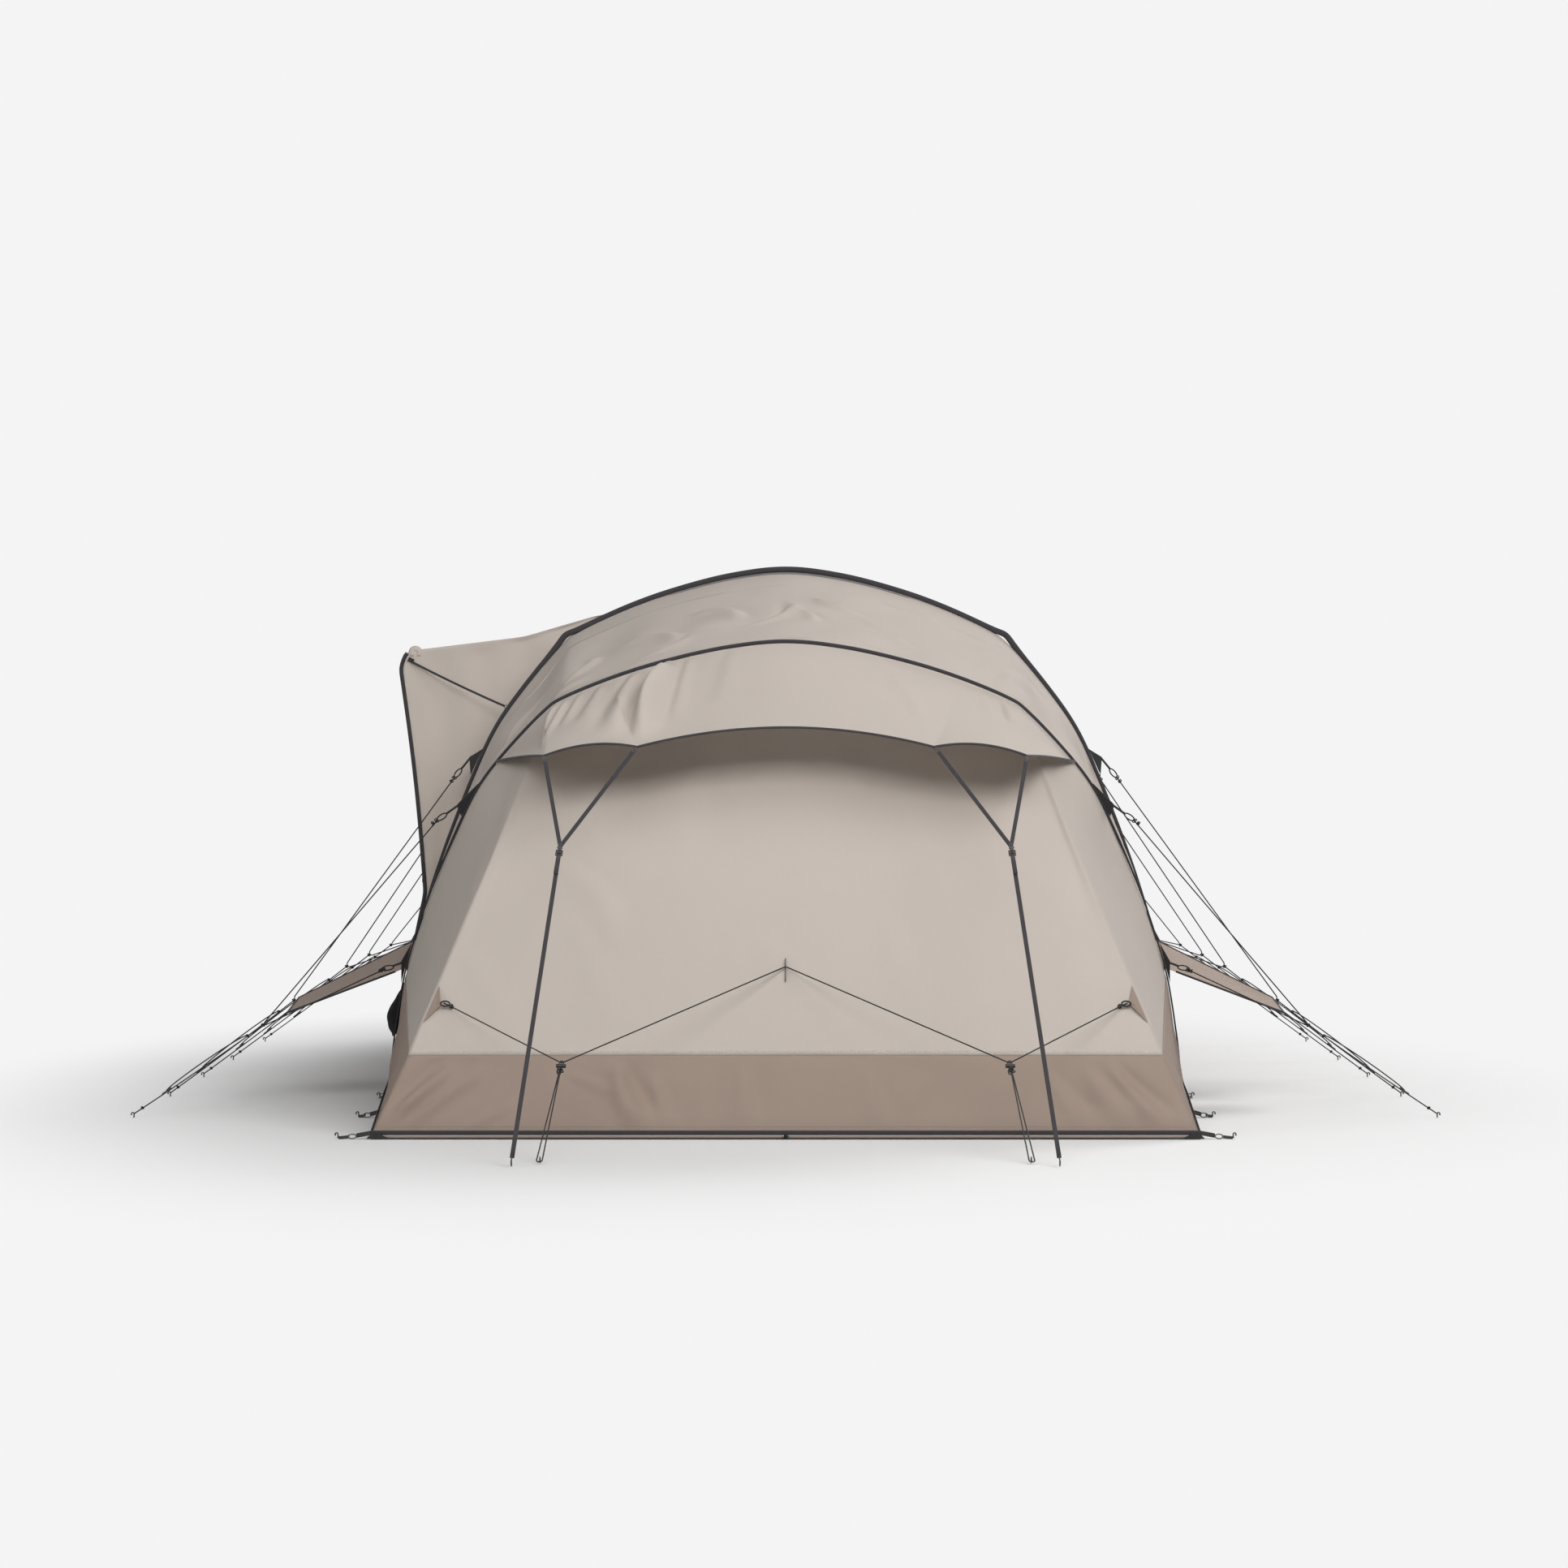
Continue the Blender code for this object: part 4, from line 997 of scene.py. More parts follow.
SKIRT_FOLDS = (
    ((-1.50, 0.04), (-1.19, 0.31), 0.034, 0.028, 0.03),
    ((-1.42, 0.02), (-1.11, 0.29), 0.028, 0.020, 0.03),
    ((-1.20, 0.02), (-0.98, 0.16), 0.022, 0.010, 0.0),
    ((-0.64, 0.30), (-0.53, 0.02), 0.044, 0.034, -0.06),
    ((-0.84, 0.26), (-0.62, 0.16), 0.022, 0.010, 0.0),
    ((-0.50, 0.26), (-0.44, 0.02), 0.030, 0.012, 0.0),
    ((-0.16, 0.30), (-0.18, 0.02), 0.044, 0.013, 0.05),
    ((-0.28, 0.28), (-0.34, 0.04), 0.030, 0.008, 0.0),
    ((0.30, 0.28), (0.34, 0.04), 0.040, 0.009, 0.0),
    ((0.56, 0.26), (0.44, 0.06), 0.040, 0.008, 0.0),
    ((0.96, 0.28), (1.12, 0.03), 0.034, 0.014, -0.02),
    ((1.10, 0.30), (1.31, 0.03), 0.044, 0.020, -0.03),
    ((1.19, 0.31), (1.43, 0.03), 0.034, 0.030, -0.03),
)


class TENT_OT_end_walls(bpy.types.Operator):
    """Leaning end walls with their gussets, and the brown skirts below them"""

    bl_idname = "tent.end_walls"
    bl_label = "End walls"

    def execute(self, context):
        spots = spread(141, -1, 1)
        wall = blended(wall_line_low(spots * KNEE), arch_points(0, spots * WALL_CORNER, -0.002), spread(101))
        wall = wall + seam_bow(spread(101)[:, None], spots[None])
        wall = puffed(wall, -0.012 * edge_fade(101, 141, 0.5, 0.5))
        wall = folded(wall, WALL_FOLDS, 51, 0.009, 0.05, 0.05, 0.7)
        rows = spread(81)
        gussets = {}
        for side, word in SIDES:
            leg = arch_points(0, side * (SEAM + (WALL_CORNER - SEAM) * rows), -0.002)
            edge = wall_line_low(np.array([side * KNEE]))[0] * (1 - rows[:, None]) + leg[-1] * rows[:, None]
            edge = edge + seam_bow(rows, np.full(81, side))
            grid = np.stack([edge * (1 - w) + leg * w for w in spread(25)], axis=1)
            grid = grid if side > 0 else grid[:, ::-1]
            grid = puffed(grid, -0.018 * edge_fade(81, 25, 0.4, 0.5))
            gussets[word] = folded(grid, (), 61 + side, 0.004, 0.05, 0.1, 0.4)
        x = spread(181, -1, 1)
        low = np.stack([x * END_HALF_WIDTH, 0 * x, 0 * x + FLOOR], axis=1)
        high = np.stack([x * SKIRT_HALF_WIDTH, 0 * x + SKIRT_SETBACK, 0 * x + SKIRT_HEIGHT - 0.0005], axis=1)
        skirt = folded(blended(low, high, spread(27)), SKIRT_FOLDS, 71, 0.010, 0.10, 0.03, 0.5)
        for end, turn in (("near", lambda g: g), ("far", flipped)):
            node = f"{end}_end_wall"
            cloth(f"{end}_wall_cloth", turn(wall), "beige", "beige_canvas", "stretched", node)
            for word, grid in gussets.items():
                cloth(f"{end}_gusset_{word}", turn(grid), "beige", "beige_canvas", "stretched", node)
            cloth(f"{end}_skirt_cloth", turn(skirt), "brown", "brown_canvas", "stretched", f"{end}_end_skirt")
            out = np.array([0, -1 if end == "near" else 1, 0])
            seam = turn(wall[1][None])[0] + out * 0.001
            stitches(f"{end}_seam_stitch_1", seam, out, 0.013, 0.005, 0.0035, material="cream")
            stitches(f"{end}_seam_stitch_2", turn(skirt[3][None])[0] + out * 0.001, out)
        return {"FINISHED"}


def hood_edge(step):
    """The hood's front edge at a step from 0 in the middle to 12 at its end, on the right."""
    (outer_x, outer_z), (inner_x, inner_z) = HOOD_EDGE
    rise = np.array([0, -math.sin(math.radians(38)), math.cos(math.radians(38))]) * 0.004
    if step <= 6:
        share = step / 6
        z = HOOD_EDGE_MIDDLE + (inner_z - HOOD_EDGE_MIDDLE) * share**2
        return np.array([inner_x * share, HOOD_OVERHANG, z]) + rise
    if step <= 9:
        share = (step - 6) / 3
        z = inner_z + (outer_z - inner_z) * share + HOOD_SCALLOP * 4 * share * (1 - share)
        return np.array([inner_x + (outer_x - inner_x) * share, HOOD_OVERHANG, z]) + rise
    share = (step - 9) / 3
    end = arch_points(0, [HOOD_LOWEST], 0.005)[0]
    spot = (np.array([outer_x, HOOD_OVERHANG, outer_z]) + rise) * (1 - share) + end * share
    spot[2] += HOOD_SCALLOP * share * (1 - share)
    return spot


HOOD_FOLDS = (
    ((-0.45, -0.08), (-0.56, 0.60), 0.034, 0.050, 0.012),
    ((-0.36, -0.08), (-0.43, 0.50), 0.026, 0.012, 0.008),
    ((-0.58, -0.06), (-0.67, 0.56), 0.040, 0.024, 0.010),
    ((-0.93, -0.06), (-0.98, 0.52), 0.018, 0.016, 0.0),
    ((-0.88, -0.06), (-0.94, 0.46), 0.016, 0.014, 0.0),
    ((-0.82, -0.04), (-0.87, 0.36), 0.018, 0.011, 0.0),
    ((-0.73, -0.04), (-0.79, 0.40), 0.028, 0.010, 0.0),
    ((-0.20, -0.04), (-0.25, 0.42), 0.040, 0.006, 0.0),
    ((0.88, -0.05), (0.90, 0.30), 0.015, 0.012, 0.0),
    ((0.80, -0.05), (0.81, 0.34), 0.024, 0.006, 0.0),
    ((0.36, -0.06), (0.55, 0.46), 0.034, 0.008, -0.02),
)


class TENT_OT_hood(bpy.types.Operator):
    """Vent hood over the near wall, with a taped scalloped edge"""

    bl_idname = "tent.hood"
    bl_label = "Vent hood"

    def execute(self, context):
        steps = np.sort(np.unique(np.concatenate([spread(289, -12, 12), [-9.0, -6.0, 6.0, 9.0]])))
        front = np.array([hood_edge(abs(s)) * (math.copysign(1, s) if s else 1, 1, 1) for s in steps])
        root = arch_points(0, HOOD_LOWEST * steps / 12, -0.007)
        grid = blended(front, root, spread(61))
        taut = np.sin(math.pi * np.clip(np.abs(steps) / 12, 0, 1))
        grid = puffed(grid, -0.010 * edge_fade(61, len(steps), 0.5) * (1 - 0.5 * taut)[None])
        u, v = flat_size(grid)
        v = v[-1][None] - v
        lift = ripples(u, v, 81, 0.005, 0.5)
        for crease in HOOD_FOLDS:
            lift = lift + fold(u, v, *crease)
        crest = HOOD_CREST - 0.19 * v
        rising = np.clip((u + 1.02) / (crest + 1.02), 0, 1) ** 1.4
        panel = np.where(u < crest, rising, np.exp(-(((u - crest) / 0.045) ** 2)))
        lift = lift + 0.060 * panel * np.sin(math.pi * spread(61))[:, None] ** 1.6
        front_fade = np.clip(np.arange(61) / 9, 0, 1)[:, None]
        seam_fade = 0.35 + 0.65 * np.clip((60 - np.arange(61)) / 7, 0, 1)[:, None]
        grid = puffed(grid, lift * front_fade * seam_fade * edge_fade(61, len(steps), 0.0, 0.04))
        cloth("hood_cloth", grid, "beige", "beige_canvas", "stretched", "vent_hood")
        edge = grid[0] + np.array([0, -0.002, -0.001])
        rounded("hood_edge_tape", edge, (0.0022, sizes().binding / 2), "charcoal", sides=8)
        return {"FINISHED"}


class TENT_OT_piping(bpy.types.Operator):
    """Charcoal piping along every arch"""

    bl_idname = "tent.piping"
    bl_label = "Arch piping"

    def execute(self, context):
        for arch in range(5):
            spots = spread(281, -FOOT, FOOT)
            low = np.clip((np.abs(spots) - KNEE) / 4, 0, 1)
            swell = 1 - low * (0.70 if arch in (0, 4) else 0.48)
            high = sizes().piping / 2 * (0.90 if arch in (0, 4) else 1.0)
            inner, outer = arch_points(arch, spots, -0.1), arch_points(arch, spots, 0.0)
            over = (outer - inner) / np.linalg.norm(outer - inner, axis=1)[:, None]
            knee = 0 if arch in (0, 4) else 0.013 * np.exp(-(((np.abs(spots) - 4.6) / 0.55) ** 2))
            path = outer + over * (PIPING_REACH + knee - high * swell)[:, None]
            name = f"arch_piping_{arch + 1}"
            rounded(name, path, (0.0060, high), "charcoal", 10, up=over, swell=swell)
        return {"FINISHED"}


class TENT_OT_beams(bpy.types.Operator):
    """Inflated arches in their sleeves"""

    bl_idname = "tent.beams"
    bl_label = "Air beams"

    def execute(self, context):
        for arch in range(5):
            inset = 0.071 if arch in (0, 4) else 0.0655
            path = arch_points(arch, spread(161, -FOOT + 0.46, FOOT - 0.46), -inset)
            name = f"beam_sleeve_{arch + 1}"
            beam = rounded(name, path, (0.0495, 0.0495), "sleeve", sides=24)
            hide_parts(f"air_beam_{arch + 1}")
        return {"FINISHED"}


def ring_points(count=48):
    right = [(END_HALF_WIDTH, 0.0), (HALF_WIDTH, foot_of(0))]
    right += [(HALF_WIDTH, foot_of(4)), (END_HALF_WIDTH, LENGTH)]
    left = [(-x, y) for x, y in reversed(right)]
    corners = right + left
    points = []
    for a, b in zip(corners, corners[1:] + corners[:1]):
        for s in spread(count, 0, 1 - 1 / count):
            points.append((a[0] + (b[0] - a[0]) * s, a[1] + (b[1] - a[1]) * s))
    return np.array(points)


class TENT_OT_ground(bpy.types.Operator):
    """Groundsheet with its rolled rim and the webbing along it"""

    bl_idname = "tent.ground"
    bl_label = "Groundsheet"

    def execute(self, context):
        across = spread(61, -1, 1)
        along = np.unique(np.concatenate([spread(101, 0, LENGTH), [foot_of(0), foot_of(4)]]))
        places = [0, foot_of(0), foot_of(4), LENGTH]
        half = np.interp(along, places, [END_HALF_WIDTH, HALF_WIDTH, HALF_WIDTH, END_HALF_WIDTH])
        wide = across[None] * (half[:, None] - 0.006)
        rim_share = np.clip((np.abs(wide) - half[:, None] + 0.24) / 0.08, 0, 1)
        end_share = np.clip((np.abs(along - LENGTH / 2) - LENGTH / 2 + 0.24) / 0.08, 0, 1)
        rim_share = np.maximum(rim_share, end_share[:, None])
        high = 0.0084 + 0.0031 * rim_share
        grid = np.stack([wide, np.repeat(along[:, None], 61, 1), high], axis=2)
        u, v = flat_size(grid)
        grid[..., 2] -= np.abs(ripples(u, v, 91, 0.003, 0.9)) * edge_fade(len(along), 61, 0.03, 0.03)
        cloth("floor_cloth", grid, "ground", "ground_sheet", "laid", "groundsheet", thickness=0.0006)
        ring = ring_points()
        ring = np.concatenate([ring, ring[:1]])
        rim = np.column_stack([ring[:, 0] * 0.9965, ring[:, 1] * 0.998 + 0.006, np.full(len(ring), 0.0122)])
        rounded("floor_rim", rim, (0.0065, 0.0090), "ground", sides=12, up=(0, 0, 1))
        # A thin black strip lies flat on the floor under the rolled rim, all the way round.
        dark_strip = rim * (1, 1, 0) + (0, 0, 0.0022)
        rounded("floor_dark_strip", dark_strip, (0.0085, 0.0020), "black_tape", 8, up=(0, 0, 1))
        band = np.column_stack([ring[:, 0], np.clip(ring[:, 1], 0.0, LENGTH), np.full(len(ring), 0.0250)])
        rounded("floor_band", band, (0.0016, 0.0082), "charcoal", sides=8, up=(0, 0, 1))
        for side, word in SIDES:
            for end, y in (("near", -0.005), ("far", LENGTH + 0.005)):
                corners = [(side * x, y, z) for x, z in ((1.560, 0.003), (1.529, 0.031), (1.474, 0.003))]
                corners = corners if side * (LENGTH / 2 - y) < 0 else corners[::-1]
                tab(f"corner_tab_{end}_{word}", corners, 0.004)
        return {"FINISHED"}


def strap_spots(side):
    join = Vector((side * STRAP_JOIN[0], STRAP_JOIN[1], STRAP_JOIN[2]))
    peg = Vector((side * STRAP_PEG[0], STRAP_PEG[1], PEG_HEIGHT / 2))
    return join, peg, (peg - join).normalized()


def peg_head(name, spot, out, body="tent", stands_for=None):
    """A bent steel peg: a stem out of the ground with a hook that points outwards."""
    out = np.array(out, float)
    base = np.array([spot[0], spot[1], PEG_RADIUS])
    bend, top = 0.005, 0.020
    turns = [base, base + (0, 0, 0.008), base + (0, 0, top - bend)]
    for k in range(1, 13):
        a = math.pi * k / 12
        rise = np.array([0, 0, top - bend + bend * math.sin(a)])
        turns.append(base + out * bend * (1 - math.cos(a)) + rise)
    turns.append(base + out * 2 * bend + np.array([0, 0, top - bend - 0.006]))
    head = rounded(name, np.array(turns), PEG_RADIUS * 0.9, "steel", sides=10, body=body)
    if stands_for:
        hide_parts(stands_for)
    return head


def webbing_strip(name, path, up, width=None, material="charcoal", body="tent"):
    half = (sizes().webbing if width is None else width) / 2
    return rounded(name, path, (half, 0.0012), material, sides=12, up=up, square=0.45, body=body)


def stitched(name, start, end, up, width=0.013):
    """A sewn box on webbing: stitches round a small square and over its corners."""
    start, end, up = Vector(start), Vector(end), Vector(up).normalized()
    way = (end - start).normalized()
    across = way.cross(up).normalized() * width / 2
    corners = [start - across, end - across, end + across, start + across, start - across, end + across]
    path = rounded_route([c + up * 0.0016 for c in corners], 0.001, 0.01, 3)
    return rounded(name, path, 0.0005, "thread", sides=5)


class TENT_OT_straps(bpy.types.Operator):
    """Webbing straps that hold the hood out, with their pegs"""

    bl_idname = "tent.straps"
    bl_label = "Hood straps"

    def execute(self, context):
        for side, word in SIDES:
            join, peg, down = strap_spots(side)
            over = Vector((0, -1, 0.2))
            main = np.array([tuple(join.lerp(peg, s)) for s in spread(24, -0.012, 0.988)])
            strap = webbing_strip(f"strap_{word}", main, tuple(over))
            for number, (x, z) in enumerate(HOOD_EDGE):
                top = Vector((side * x, HOOD_OVERHANG - 0.004, z + 0.004))
                way = (join - top).normalized()
                arm = np.array([tuple(top.lerp(join + way * 0.012, s)) for s in spread(16)])
                arm = arm + (0, 0.0015 * (number + 1), 0)
                webbing_strip(f"strap_arm_{word}_{number + 1}", arm, tuple(over), 0.015)
                end = top + way * 0.030
                stitched(f"strap_stitch_{word}_{number + 1}", top + way * 0.008, end, over, 0.009)
            stitched(f"strap_box_{word}", join + down * 0.004, join + down * 0.024, over)
            tail = [join + down * s for s in (0.046, 0.07, 0.10, 0.13)]
            tail = [p + Vector((0, -0.003 - 0.004 * i, 0.001)) for i, p in enumerate(tail)]
            webbing_strip(f"strap_tail_{word}", np.array([tuple(p) for p in tail]), tuple(over), 0.017)
            low = peg - down * 0.02
            loop = [low + Vector((0, -0.004, 0)), peg + Vector((0, -0.014, -0.002))]
            loop += [peg + Vector((0, -0.004, 0.006)), low]
            loop = catmull([tuple(p) for p in loop], spread(14, 0, 3))
            webbing_strip(f"strap_loop_{word}", loop, (side, 0, 0), 0.014)
            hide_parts(f"hood_strap_{word}")
            peg_head(f"strap_peg_{word}", peg, (0, -1, 0))
        return {"FINISHED"}


class TENT_OT_buckles(bpy.types.Operator):
    """Ladder buckles on the hood straps, moulded once and copied"""

    bl_idname = "tent.buckles"
    bl_label = "Strap buckles"

    def execute(self, context):
        fresh()
        bpy.ops.mesh.primitive_grid_add(x_subdivisions=6, y_subdivisions=7, size=1)
        plate = bpy.context.active_object
        plate.scale = (0.027, 0.026, 1)
        bpy.ops.object.transform_apply(location=False, rotation=False, scale=True)
        window = lambda c, n: abs(c.x) < 0.009 and 0.002 < abs(c.y) < 0.009
        pick_faces(plate, window)
        bpy.ops.mesh.delete(type="FACE")
        bpy.ops.mesh.select_all(action="SELECT")
        bpy.ops.object.mode_set(mode="OBJECT")
        wall = plate.modifiers.new("wall", "SOLIDIFY")
        wall.thickness = 0.0045
        wall.offset = 0
        bpy.ops.object.modifier_apply(modifier="wall")
        edge = plate.modifiers.new("edge", "BEVEL")
        edge.width = 0.0009
        edge.segments = 2
        bpy.ops.object.modifier_apply(modifier="edge")
        mesh = taken(plate)
        for side, word in SIDES:
            join, _, down = strap_spots(side)
            spot = join + down * 0.032
            over = Vector((0, -1, 0.2))
            frame = frame_at(spot + over.normalized() * 0.003, down, over)
            put(f"buckle_{word}", mesh, frame, "plastic", f"buckle_{word}", f"hood_buckle_{word}")
        return {"FINISHED"}


def wall_y(x, z):
    """How far back the near end wall's outer face is at a place across and up."""
    spots = spread(141, -1, 1)
    low, high = wall_line_low(spots * KNEE), arch_points(0, spots * WALL_CORNER, -0.002)
    share = 0.5
    for _ in range(20):
        line = low * (1 - share) + high * share
        i = int(np.argmin(np.abs(line[:, 0] - x)))
        share = (z - low[i, 2]) / (high[i, 2] - low[i, 2])
    return float(low[i, 1] * (1 - share) + high[i, 1] * share + seam_bow(share, spots[i])[1])


def tab(name, corners, thick=0.0016, material="black_tape"):
    """A small sewn patch: a flat shape with a bevelled rim."""
    corners = [Vector(c) for c in corners]
    normal = (corners[1] - corners[0]).cross(corners[-1] - corners[0]).normalized()
    middle = sum(corners, Vector()) / len(corners)
    count = len(corners)
    points = [c + normal * thick * 0.4 for c in corners]
    points += [middle.lerp(c, 0.86) + normal * thick for c in corners]
    points += [c - normal * thick * 0.4 for c in corners]
    faces = [tuple(range(count, 2 * count)), tuple(range(3 * count - 1, 2 * count - 1, -1))]
    for i in range(count):
        j = (i + 1) % count
        faces += [(i, j, count + j, count + i), (2 * count + i, 2 * count + j, j, i)]
    flat = [(p.x + p.y, p.z) for p in points]
    mesh = mesh_of(name, [tuple(p) for p in points], faces, flat)
    return settle(name, mesh, material, "tent", smooth=False)


class TENT_OT_front_cords(bpy.types.Operator):
    """Cord bridle across the near end wall, its lines, tabs and pegs"""

    bl_idname = "tent.front_cords"
    bl_label = "Front cords"

    def execute(self, context):
        side_x, side_z = WALL_TAB_SIDE
        side_y = wall_y(side_x, side_z)
        middle_y = wall_y(0, WALL_TAB_MIDDLE)
        bend = Vector(RUNNER_PLACE)
        other = Vector((-bend.x, bend.y, bend.z))
        middle = Vector((0, middle_y - 0.010, WALL_TAB_MIDDLE))
        route = [(-side_x, side_y - 0.0065, side_z), other, middle, bend, (side_x, side_y - 0.0065, side_z)]
        path = rounded_route(route, 0.013)
        line_cord("bridle_cord", path, stands_for="front_bridle")
        for side, word in SIDES:
            start = Vector((side * bend.x, bend.y, bend.z))
            peg = Vector((side * FRONT_PEG[0], FRONT_PEG[1], PEG_HEIGHT / 2))
            way = (peg - start).normalized()
            across = way.cross(Vector((0, 0, 1))).normalized()
            top, low = start + way * 0.064, peg + way * 0.022
            wide = 0.010
            turn = []
            for a in spread(13, math.pi, 0):
                turn.append(low + across * wide * math.cos(a) - way * wide * (1 - math.sin(a)))
            down_line = [(top - across * 0.0015).lerp(turn[0], s) for s in spread(12, 0, 1 - 1 / 12)]
            up_line = [turn[-1].lerp(top + across * 0.0015, s) for s in spread(12, 1 / 12, 1)]
            path = np.array([tuple(p) for p in (*down_line, *turn, *up_line)])
            line_cord(f"front_cord_{word}", path, stands_for=f"front_line_{word}")
            knot(f"front_knot_{word}", start + way * 0.062, way, 0.015)
            knot(f"front_stop_{word}", start + way * 0.046, way, 0.010)
            short = np.array([tuple(start.lerp(top, s)) for s in spread(8, -0.05, 1)])
            rounded(f"front_link_{word}", short, sizes().cord * 0.5, "cord", sides=8)
            ring(f"front_eye_{word}", start + way * 0.004, 0.008, 0.0019, (0, 1, 0), "cord", 1.3, way)
            peg_head(f"front_peg_{word}", peg - way * 0.008, (0, -1, 0))
            ring_spot = Vector((side * side_x, side_y - 0.0065, side_z))
            seam_low = Vector((side * 1.361, wall_y(1.361, 0.424) - 0.004, 0.424))
            seam_high = Vector((side * 1.306, wall_y(1.306, 0.558) - 0.004, 0.558))
            tip = ring_spot + Vector((side * 0.012, -0.018, 0))
            corners = [seam_high, seam_low, tip - Vector((0, 0, 0.006)), tip + Vector((0, 0, 0.006))]
            # The tab is beige wall cloth; it takes the darker brown finish as painted shade, for its face
            # turned down and aside from the light.
            tab(f"wall_tab_{word}", corners if side < 0 else corners[::-1], 0.0020, "brown")
            eye = ring_spot + Vector((-side * 0.006, -0.020, -0.002))
            ring(f"wall_eye_{word}", eye, 0.010, 0.0032, (0, 1, 0.2), "cord", 1.7, (1, 0, 0))
            knot(f"wall_knot_{word}", ring_spot + Vector((-side * 0.030, -0.012, -0.012)), (1, 0, 0.4), 0.009)
        strap = np.array([(0, wall_y(0, z) - 0.003, z) for z in spread(8, 0.575, 0.662)])
        webbing_strip("wall_tab_middle", strap, (1, 0, 0), 0.012, "black_tape")
        ring("wall_ring_middle", middle + Vector((0, 0.003, 0.010)), 0.010, 0.0014, (1, 0, 0))
        return {"FINISHED"}


class TENT_OT_runners(bpy.types.Operator):
    """Barrel runners on the front lines, turned once and copied"""

    bl_idname = "tent.runners"
    bl_label = "Line runners"

    def execute(self, context):
        fresh()
        bpy.ops.mesh.primitive_cylinder_add(vertices=24, radius=0.0075, depth=0.035, end_fill_type="NGON")
        barrel = bpy.context.active_object
        pick_faces(barrel, lambda c, n: abs(n.z) > 0.9)
        bpy.ops.mesh.inset(thickness=0.0018)
        bpy.ops.mesh.extrude_region_move(TRANSFORM_OT_translate={"value": (0, 0, 0)})
        bpy.ops.transform.resize(value=(0.8, 0.8, 0.82))
        bpy.ops.object.mode_set(mode="OBJECT")
        edge = barrel.modifiers.new("edge", "BEVEL")
        edge.width = 0.0012
        edge.segments = 3
        edge.angle_limit = math.radians(40)
        bpy.ops.object.modifier_apply(modifier="edge")
        fresh()
        bpy.ops.mesh.primitive_cube_add(size=1)
        slot = bpy.context.active_object
        slot.scale = (0.0070, 0.0300, 0.0136)
        bpy.ops.object.transform_apply(location=False, rotation=False, scale=True)
        fresh()
        barrel.select_set(True)
        bpy.context.view_layer.objects.active = barrel
        through = barrel.modifiers.new("slot", "BOOLEAN")
        through.object = slot
        through.operation = "DIFFERENCE"
        through.solver = "EXACT"
        bpy.ops.object.modifier_apply(modifier="slot")
        bpy.data.objects.remove(slot)
        barrel.data.transform(Matrix.Rotation(math.pi / 2, 4, "Y"))
        mesh = taken(barrel)
        for side, word in SIDES:
            start = Vector((side * RUNNER_PLACE[0], RUNNER_PLACE[1], RUNNER_PLACE[2]))
            peg = Vector((side * FRONT_PEG[0], FRONT_PEG[1], PEG_HEIGHT / 2))
            way = (peg - start).normalized()
            frame = frame_at(start + way * 0.0225, way)
            put(f"runner_{word}", mesh, frame, "plastic", f"runner_{word}", f"front_runner_{word}")
        return {"FINISHED"}


def guy_spots(arch, side):
    """The roots and rings of a guy line's two tabs, its corner and its peg."""
    legs = []
    for height, reach in ((GUY_UPPER_HEIGHTS[arch], UPPER_TAB), (GUY_LOWER_HEIGHTS[arch], LOWER_TAB)):
        x = contour_x(height)
        legs.append([on_arch(arch, (x + 0.0028, height)), on_arch(arch, (x + reach[0], height + reach[1]))])
    mirror = np.array([side, 1, 1])
    corner = Vector(np.array(GUY_CORNERS[arch]) * mirror)
    peg = Vector((side * GUY_PEG_HALF, GUY_PEG_ROWS[arch], PEG_HEIGHT / 2))
    upper, lower = [[Vector(p * mirror) for p in leg] for leg in legs]
    return upper, lower, corner, peg


